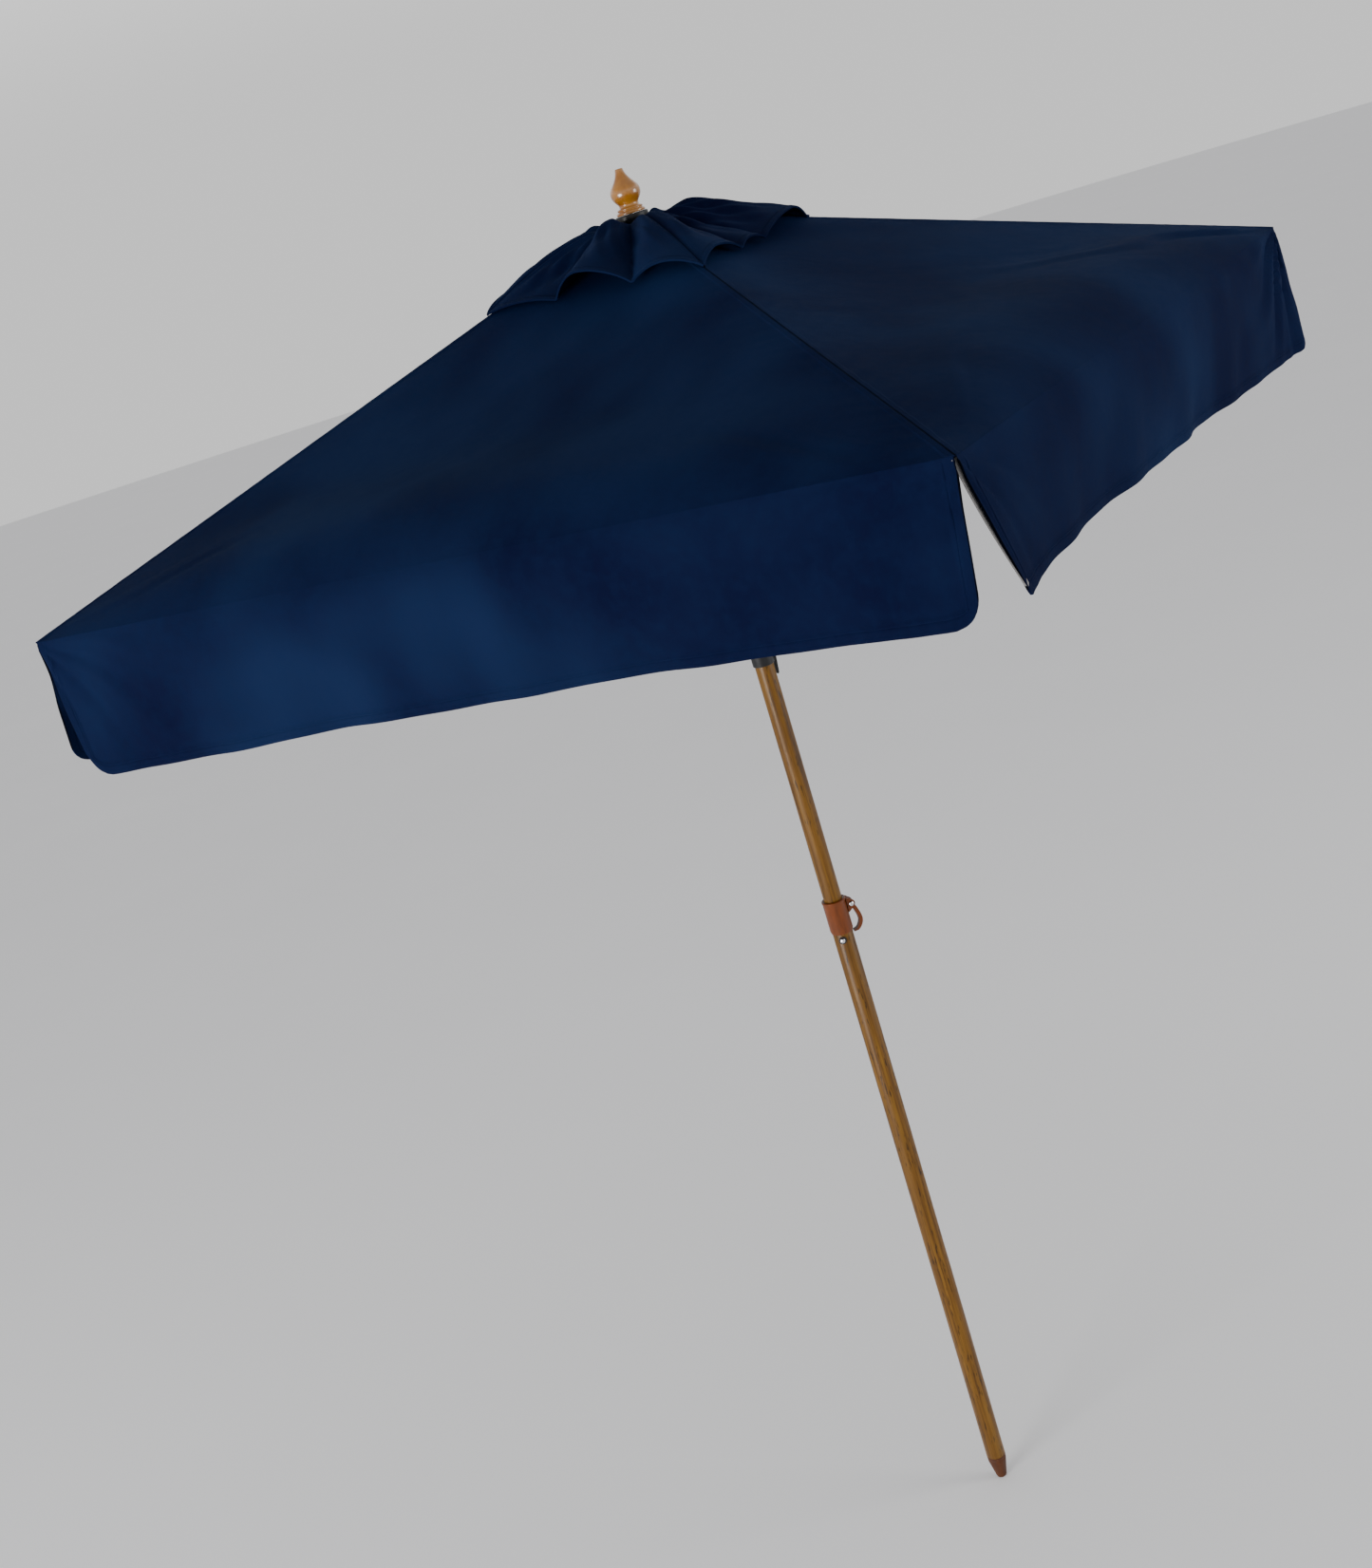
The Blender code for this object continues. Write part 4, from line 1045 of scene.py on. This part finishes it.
    def vent_height(self, side: int, across: np.ndarray, reach: np.ndarray, out: np.ndarray) -> np.ndarray:
        """Height of the slack cap over the vent.

        Args:
            side: which side, 0 to 3.
            across: place between the ribs.
            reach: |x| + |y|.
            out: 0 at the disc, 1 at the hem.

        Returns:
            Heights in metres.
        """
        phase = RELIEF.side_waves[side]
        puffed = 1.0 - np.exp(-(np.maximum(out, 0.0) / 0.20) ** 1.5)
        lobes = sum(lobe.rise(across) for lobe in SIDE_CUTS[side].lobes)
        from_rib = np.minimum(across, 1.0 - across)
        ridge = 0.012 * np.sin(np.pi * np.clip(out, 0.0, 1.0)) * np.exp(-(from_rib / 0.13) ** 2)
        inside = np.sin(np.pi * np.clip(out, 0.0, 1.0))
        creases = 0.0030 * np.sin(across * 27.0 + phase * 2.0 + 8.0 * out) * inside
        creases += 0.0016 * np.sin(across * 58.0 - 15.0 * out + phase) * inside ** 2
        creases *= 1.0 - np.exp(-(from_rib * reach / 0.012) ** 2)
        height = LAYOUT.apex_z - LAYOUT.slope * reach + 0.0022 + lobes * puffed + ridge + creases
        seat = np.clip((reach - 0.034) / 0.060, 0.0, 1.0)
        seat = seat * seat * (3.0 - 2.0 * seat)
        return self.vent_seat_z * (1.0 - seat) + height * seat

    def vent_half(self, rib: Rib, hand: Hand) -> bpy.types.Object:
        """Half a quarter of the cap over the vent, tacked down at its corners and twice a side.

        Args:
            rib: its rib.
            hand: which half it is.

        Returns:
            The new piece.
        """
        side, at_start = self.side_of(rib, hand)
        edge = self.vent_reach - np.array([0.0116, 0.0108, 0.0100, 0.0092, 0.0084, 0.0050, 0.0008, 0.0])
        rows = np.concatenate([np.linspace(self.vent_start, self.vent_reach - 0.0130, 60), edge])
        aside = self.seam_columns(rows, 44)
        reach = np.repeat(rows[:, None], aside.shape[1], axis=1)
        across = self.across_of(aside / (reach / 2), at_start)
        ends = SIDE_CUTS[side].vent_reach
        out = (reach - self.vent_start) / (self.vent_reach - self.vent_start)
        stretch = 1.0 + (ends[0] + (ends[1] - ends[0]) * across - self.vent_reach) / self.vent_reach * out
        height = self.vent_height(side, across, reach * stretch, out)
        points = np.stack([(reach - aside) * stretch, hand.value * aside * stretch, height], axis=-1)
        hem = np.clip((reach - (self.vent_reach - self.vent_hem)) / 0.0008, 0.0, 1.0)
        stitch = np.exp(-((reach - (self.vent_reach - self.vent_stitch)) / 0.0006) ** 2)
        hemmed = self.thin + hem * (0.0019 - 0.0014 * stitch)
        thickness = np.maximum(self.seam_thickness(aside) * 0.8, hemmed)
        thickness = np.minimum(thickness, np.where(reach < 0.045, 0.0007, 1.0))
        flat = np.stack([aside * 1.08, reach * 1.06], axis=-1)
        sheet = Sheet(f"vent_{rib.label}_{rib.neighbour(hand).label}", self.place_quarter(rib, points),
                      thickness, flat, hand.value)
        return self.on_rib(sheet, rib, hand, "vent")

    def flap_half(self, rib: Rib, hand: Hand) -> bpy.types.Object:
        """Half of a hanging flap, from the slit at its rib to the middle of the side.

        Args:
            rib: its rib.
            hand: which half it is.

        Returns:
            The new piece.
        """
        side, at_start = self.side_of(rib, hand)
        flare = self.flares.get((side, 0 if at_start else 1), CornerFlare())
        other = self.flares.get((side, 1 if at_start else 0), CornerFlare())
        flares = (flare, other) if at_start else (other, flare)
        half = LAYOUT.corner / math.sqrt(2.0)
        beside = np.concatenate([self.hem_steps, np.linspace(0.020, half, 66)])
        corner_lift = flare.round - np.sqrt(np.maximum(
            flare.round ** 2 - np.maximum(flare.round - beside, 0.0) ** 2, 0.0))
        drops = SIDE_CUTS[side].drops
        cut = np.interp(self.across_of(beside / half, at_start), np.linspace(0.0, 1.0, len(drops)), drops)
        whole = cut - corner_lift
        from_hem = spaced([*self.hem_steps, 0.0200], whole, 44)[:, ::-1].T
        drop = whole[None, :] - from_hem
        share = drop / cut[None, :]
        along = np.repeat(beside[None, :], drop.shape[0], axis=0)
        lean = 0.0016 + flare.lean * drop * np.exp(-along / 0.22)
        place = along + lean * np.clip(1.0 - along / half, 0.0, 1.0)
        across = self.across_of(place / half, at_start)
        out = RELIEF.flap(side, across, drop, share, flares)
        top = RELIEF.roof(side, across[0], np.full(across.shape[1], LAYOUT.corner))
        along_eave = np.array([-1.0, hand.value, 0.0]) / math.sqrt(2.0)
        outward = np.array([1.0, hand.value, 0.0]) / math.sqrt(2.0)
        panel = np.array([LAYOUT.slope, hand.value * LAYOUT.slope, 1.0])
        panel /= np.linalg.norm(panel)
        corner = np.array([LAYOUT.corner, 0.0, LAYOUT.eave_z])
        points = (corner + place[..., None] * along_eave + out[..., None] * outward
                  - drop[..., None] * np.array([0.0, 0.0, 1.0]))
        fade = np.exp(-drop / 0.03)
        points = points + (fade * top[None, :])[..., None] * panel
        edge = np.minimum(from_hem, along)
        doubled = np.clip((self.hem_width - edge) / 0.0009, 0.0, 1.0)
        stitch = np.exp(-((edge - self.hem_stitch) / 0.0009) ** 2)
        thickness = self.thin + doubled * (0.0018 - 0.0016 * stitch)
        thickness = np.where(drop < 0.004, self.thin, thickness)
        flat = np.stack([along, drop], axis=-1)
        where = f"{rib.label}_{rib.neighbour(hand).label}"
        sheet = Sheet(f"flap_{where}", self.place_quarter(rib, points), thickness, flat, -hand.value)
        node = f"valance_{where}"
        return self.finish_half(sheet, node, [node])


@dataclass
class ClosingStrap:
    """The tape that ties the umbrella when folded, sewn in beside the front corner."""

    tape: bpy.types.Material
    width: float = 0.0115
    length: float = 0.1500
    thickness: float = 0.0013
    lean: float = 0.28
    out: float = 0.024
    folded_share: float = 0.12       # of its length, when the umbrella is folded

    def build(self) -> bpy.types.Object:
        """Returns the strap, hanging behind the edge of the flap that it is sewn beside."""
        along = np.linspace(0.0, self.length, 60)
        aside = np.linspace(-self.width / 2, self.width / 2, 9)
        round_end = np.sqrt(np.clip(1.0 - np.clip((along - (self.length - self.width / 2))
                                                  / (self.width / 2), 0.0, 0.985) ** 2, 0.0, 1.0))
        drop, side = np.meshgrid(along, aside, indexing="ij")
        side = side * round_end[:, None]
        low = (drop / self.length) ** 1.4
        corner = np.array([0.0, -LAYOUT.corner, LAYOUT.eave_z])
        along_eave = np.array([1.0, 1.0, 0.0]) / math.sqrt(2.0)
        outward = np.array([1.0, -1.0, 0.0]) / math.sqrt(2.0)
        points = (corner + (side * 0.94 + 0.0042 + self.lean * drop)[..., None] * along_eave
                  + (self.out * low - 0.0040)[..., None] * outward
                  - (drop * 0.96 + 0.003)[..., None] * np.array([0.0, 0.0, 1.0]))
        edge = np.minimum(self.width / 2 - np.abs(side), self.length - drop)
        thickness = self.thickness * np.clip(0.55 + edge / 0.0016, 0.55, 1.0)
        sheet = Sheet("tie_strap", points, thickness, np.stack([side, drop], axis=-1), 1)
        piece = sheet.make(self.tape)
        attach(piece, "rib_front")
        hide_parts("closing_strap")
        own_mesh(piece)
        LOG.info("strap: %s", piece.name)
        return piece


# ================================================================ the pole and its fittings
@dataclass
class Pole:
    """Both tubes, the ground tip, the clamp and its lever."""

    finishes: Finishes
    wall: float = 0.0012
    lip: float = 0.0008

    def build(self) -> None:
        """Builds and dresses every piece of the pole."""
        self.tube("lower_tube")
        self.tube("upper_tube")
        self.ground_tip()
        softened("clamp_collar", "collar", self.finishes.clamp, 0.0005)
        softened("clamp_lever", "cam_lever", self.finishes.clamp, 0.0011)
        self.domed("lever_pin", "lever_pin_polished")
        self.domed("pole_rivet", "rivet_polished")
        softened("rivet_washer", "rivet_ring", self.finishes.black, 0.0003)
        softened("upper_end_plug", "end_plug", self.finishes.black, 0.0004)
        LOG.info("pole: tubes, tip, collar, lever and rivet")

    def tube(self, node: str) -> None:
        """A tube with rolled ends.

        Args:
            node: the node that it replaces.
        """
        low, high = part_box(node)
        outer = (high[0] - low[0]) / 2
        inner = outer - self.wall
        profile = [(inner + 0.0003, high[2]), (outer - 0.0003, high[2]), (outer, high[2] - self.lip),
                   (outer, low[2] + self.lip), (outer - 0.0003, low[2]), (inner, low[2]),
                   (inner, high[2] - 0.0003)]
        turned(node, node + "_drawn", profile, self.finishes.pole, closed=True)

    def ground_tip(self) -> None:
        """The tapered foot, with a shoulder bead and a blunt rounded nose."""
        low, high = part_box("ground_tip")
        outer = (high[0] - low[0]) / 2
        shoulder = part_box("lower_tube")[0][2] - 0.0003
        nose = arc((0.0050, 0.0040), 0.0040, 0.0, -90.0, 10)
        profile = [(0.0, high[2]), (outer - 0.0025, high[2]), (outer - 0.0020, high[2] - 0.001),
                   (outer - 0.0020, shoulder), (outer - 0.0006, shoulder), (outer, shoulder - 0.0006),
                   (outer, shoulder - 0.0035), (outer - 0.0006, shoulder - 0.0045),
                   (outer - 0.0003, shoulder - 0.0055), (outer - 0.0005, shoulder - 0.010), *nose,
                   (0.0, 0.0)]
        turned("ground_tip", "tip_moulded", profile, self.finishes.tip)

    def domed(self, node: str, name: str) -> None:
        """A pin or rivet with its own shape, smoothly domed."""
        piece = softened(node, name, self.finishes.steel, 0.0002)
        piece.data.set_sharp_from_angle(angle=math.radians(60.0))


@dataclass
class Top:
    """The crown, disc and finial at the top of the pole."""

    finishes: Finishes
    stud_hole: float = 0.0043        # radius through the disc and up into the finial
    stud_depth: float = 0.0380
    plug_hole: float = 0.0039        # radius of the hole in the finial's tip
    plug_depth: float = 0.0060

    def build(self) -> None:
        """Builds and dresses every piece above the upper tube."""
        softened("crown", "crown_moulded", self.finishes.black, 0.0006)
        softened("crown_ring", "pivot_ring", self.finishes.steel, 0.0002)
        softened("tube_top_plug", "top_plug", self.finishes.black, 0.0004)
        softened("finial_stud", "stud", self.finishes.steel, 0.0002)
        self.disc()
        self.finial()
        LOG.info("top: crown, disc and finial")

    def disc(self) -> None:
        """The black cap that clamps the cloth, rounded over and tapered in underneath."""
        low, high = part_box("canopy_disc")
        rim = (high[0] - low[0]) / 2
        rounded = arc((rim - 0.0016, high[2] - 0.0016), 0.0016, 80.0, 0.0, 5)
        taper = [(rim - 0.0003, low[2] + 0.0058), (rim - 0.0022, low[2] + 0.0026), (rim - 0.0062, low[2])]
        profile = [(self.stud_hole, high[2]), (rim - 0.0022, high[2]), *rounded, (rim, low[2] + 0.0070),
                   *smooth_line(taper, 5), (self.stud_hole, low[2])]
        turned("canopy_disc", "cap_disc", profile, self.finishes.black, closed=True)

    def finial(self) -> None:
        """The turned knob, with a dark plug in its tip."""
        low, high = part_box("finial")
        base, top = low[2], high[2]
        shape = [(0.0054, 1.0), (0.0060, 0.955), (0.0071, 0.895), (0.0092, 0.820), (0.0126, 0.735),
                 (0.0165, 0.655), (0.0194, 0.585), (0.0209, 0.515), (0.0211, 0.455), (0.0203, 0.390),
                 (0.0184, 0.325), (0.0160, 0.272), (0.0143, 0.232), (0.0138, 0.200)]
        bead = [(0.0141, 0.172), (0.0150, 0.150), (0.0168, 0.142), (0.0179, 0.126), (0.0181, 0.110),
                (0.0176, 0.094), (0.0178, 0.082), (0.0190, 0.070), (0.0201, 0.048), (0.0203, 0.026),
                (0.0198, 0.0)]
        outer = [point for part, steps in ((shape, 5), (bead, 4))
                 for point in smooth_line([(r, base + (top - base) * h) for r, h in part], steps)]
        rim = arc((0.0046, top - 0.0006), 0.0008, 150.0, 40.0, 4)
        profile = [(0.0, top - self.plug_depth), (self.plug_hole, top - self.plug_depth),
                   (self.plug_hole, top - 0.0012), *rim, *outer[1:], (self.stud_hole, base),
                   (self.stud_hole, base + self.stud_depth), (0.0, base + self.stud_depth)]
        turned("finial", "finial_turned", profile, self.finishes.finial, crease=50.0)
        low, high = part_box("finial_plug")
        radius = (high[0] - low[0]) / 2
        dome = arc((0.0, high[2] - 0.0048), 0.0048, 90.0, 44.0, 6)
        profile = [*dome, (radius, high[2] - 0.0016), (radius, low[2]), (0.0, low[2])]
        turned("finial_plug", "tip_plug", profile, self.finishes.black, steps=48)


@dataclass
class Runner:
    """The sliding runner and its finger latch."""

    finishes: Finishes

    def build(self) -> None:
        """Dresses the runner's mouldings and pins."""
        softened("runner_body", "runner_moulded", self.finishes.black, 0.0005)
        softened("runner_latch", "latch_moulded", self.finishes.black, 0.0005)
        softened("latch_pin", "latch_pin_polished", self.finishes.steel, 0.0002)
        LOG.info("runner: body, latch and pin")


@dataclass
class Ribs:
    """The ribs, their fittings and the struts."""

    finishes: Finishes

    def build(self) -> None:
        """Dresses each rib and strut."""
        for rib in Rib:
            grain = self.finishes.rib_x if rib in (Rib.RIGHT, Rib.LEFT) else self.finishes.rib_y
            softened(f"rib_bar_{rib.label}", f"rib_{rib.label}_planed", grain, 0.0004)
            softened(f"strut_{rib.label}", f"strut_{rib.label}_planed", self.finishes.strut, 0.0008)
            for part, edge in (("eye", 0.0006), ("bracket", 0.0006), ("tip", 0.0012)):
                name = f"rib_{rib.label}_{part}_moulded"
                softened(f"rib_{part}_{rib.label}", name, self.finishes.black, edge)
            softened(f"strut_pin_{rib.label}", f"rib_{rib.label}_pin_polished", self.finishes.steel, 0.0002)
        LOG.info("ribs: four, with struts")


# ================================================================ studio
@dataclass(frozen=True)
class Lamp:
    """A soft rectangular light.

    Attributes:
        name: its name.
        place: where it stands.
        aim: the point it faces.
        size: width and height.
        power: watts.
    """

    name: str
    place: tuple[float, float, float]
    aim: tuple[float, float, float]
    size: tuple[float, float]
    power: float

    def make(self) -> None:
        """Adds the light."""
        data = bpy.data.lights.new(self.name, "AREA")
        data.shape = "RECTANGLE"
        data.size, data.size_y = self.size
        data.energy = self.power
        lamp = bpy.data.objects.new(self.name, data)
        lamp.location = self.place
        lamp.rotation_euler = (Vector(self.aim) - Vector(self.place)).to_track_quat("-Z", "Y").to_euler()
        bpy.context.scene.collection.objects.link(lamp)


@dataclass
class Studio:
    """A pale floor, soft lights and the camera."""

    eye: tuple[float, float, float] = (-0.6272, -2.5589, 2.1426)
    yaw: float = 10.234          # degrees from +Y towards +X
    pitch: float = 16.8391       # degrees down
    roll: float = -17.4058
    lens: float = 42.11
    floor_radius: float = 40.0
    air_foot: Colour = (0.84, 0.84, 0.84)
    air_low: Colour = (1.35, 1.35, 1.35)
    air_high: Colour = (0.50, 0.50, 0.52)

    def build(self) -> None:
        """Builds the stage, the lights and the camera."""
        self.floor()
        self.air()
        centre = (0.0, 0.0, 1.85)
        for lamp in (Lamp("left_soft", (-4.9, -2.7, 0.9), centre, (2.4, 2.0), 350.0),
                     Lamp("right_soft", (5.2, -2.6, 1.6), centre, (2.2, 2.2), 150.0)):
            lamp.make()
        self.camera()
        LOG.info("studio: floor, lights and camera")

    def floor(self) -> None:
        """A wide pale floor."""
        shape = bmesh.new()
        bmesh.ops.create_circle(shape, cap_ends=True, radius=self.floor_radius, segments=96)
        mesh = bpy.data.meshes.new("floor")
        shape.to_mesh(mesh)
        shape.free()
        graph = Graph("pale_floor")
        tone = graph.noise(graph.place(), 1.5, 2.0)
        graph.set(Base_Color=graph.mix(tone, (0.90, 0.90, 0.90), (0.93, 0.93, 0.93)), Roughness=0.9,
                  Specular_IOR_Level=0.1)
        link("floor", mesh, graph.material)

    def air(self) -> None:
        """White light from all round, dimmer overhead and down where it meets the floor."""
        graph = Graph("studio_air", world=True)
        height = graph.node("ShaderNodeSeparateXYZ", inputs={0: graph.node("ShaderNodeTexCoord")}, output=2)
        sides = graph.mix(height.between(0.10, 0.30), self.air_foot, self.air_low)
        graph.set(Color=graph.mix(height.between(0.30, 0.65), sides, self.air_high), Strength=1.0)
        bpy.context.scene.world = graph.material

    def camera(self) -> None:
        """The camera, turned about its own axis by the roll."""
        yaw, pitch, roll = (math.radians(a) for a in (self.yaw, self.pitch, self.roll))
        ahead = Vector((math.sin(yaw) * math.cos(pitch), math.cos(yaw) * math.cos(pitch), -math.sin(pitch)))
        right = Vector((math.cos(yaw), -math.sin(yaw), 0.0))
        down = ahead.cross(right)
        across = math.cos(roll) * right - math.sin(roll) * down
        low = math.sin(roll) * right + math.cos(roll) * down
        data = bpy.data.cameras.new("camera")
        data.lens = self.lens
        data.sensor_width = 36.0
        data.clip_end = 200.0
        camera = bpy.data.objects.new("camera", data)
        turn = Matrix((across, -low, -ahead)).transposed().to_4x4()
        camera.matrix_world = Matrix.Translation(self.eye) @ turn
        bpy.context.scene.collection.objects.link(camera)
        bpy.context.scene.camera = camera


def main() -> None:
    """Builds the studio and then each part of the umbrella."""
    Studio().build()
    finishes = Finishes()
    Pole(finishes).build()
    Top(finishes).build()
    Runner(finishes).build()
    Ribs(finishes).build()
    Canopy(finishes.cloth).build()
    ClosingStrap(finishes.tape).build()


if __name__ == "__main__":
    main()
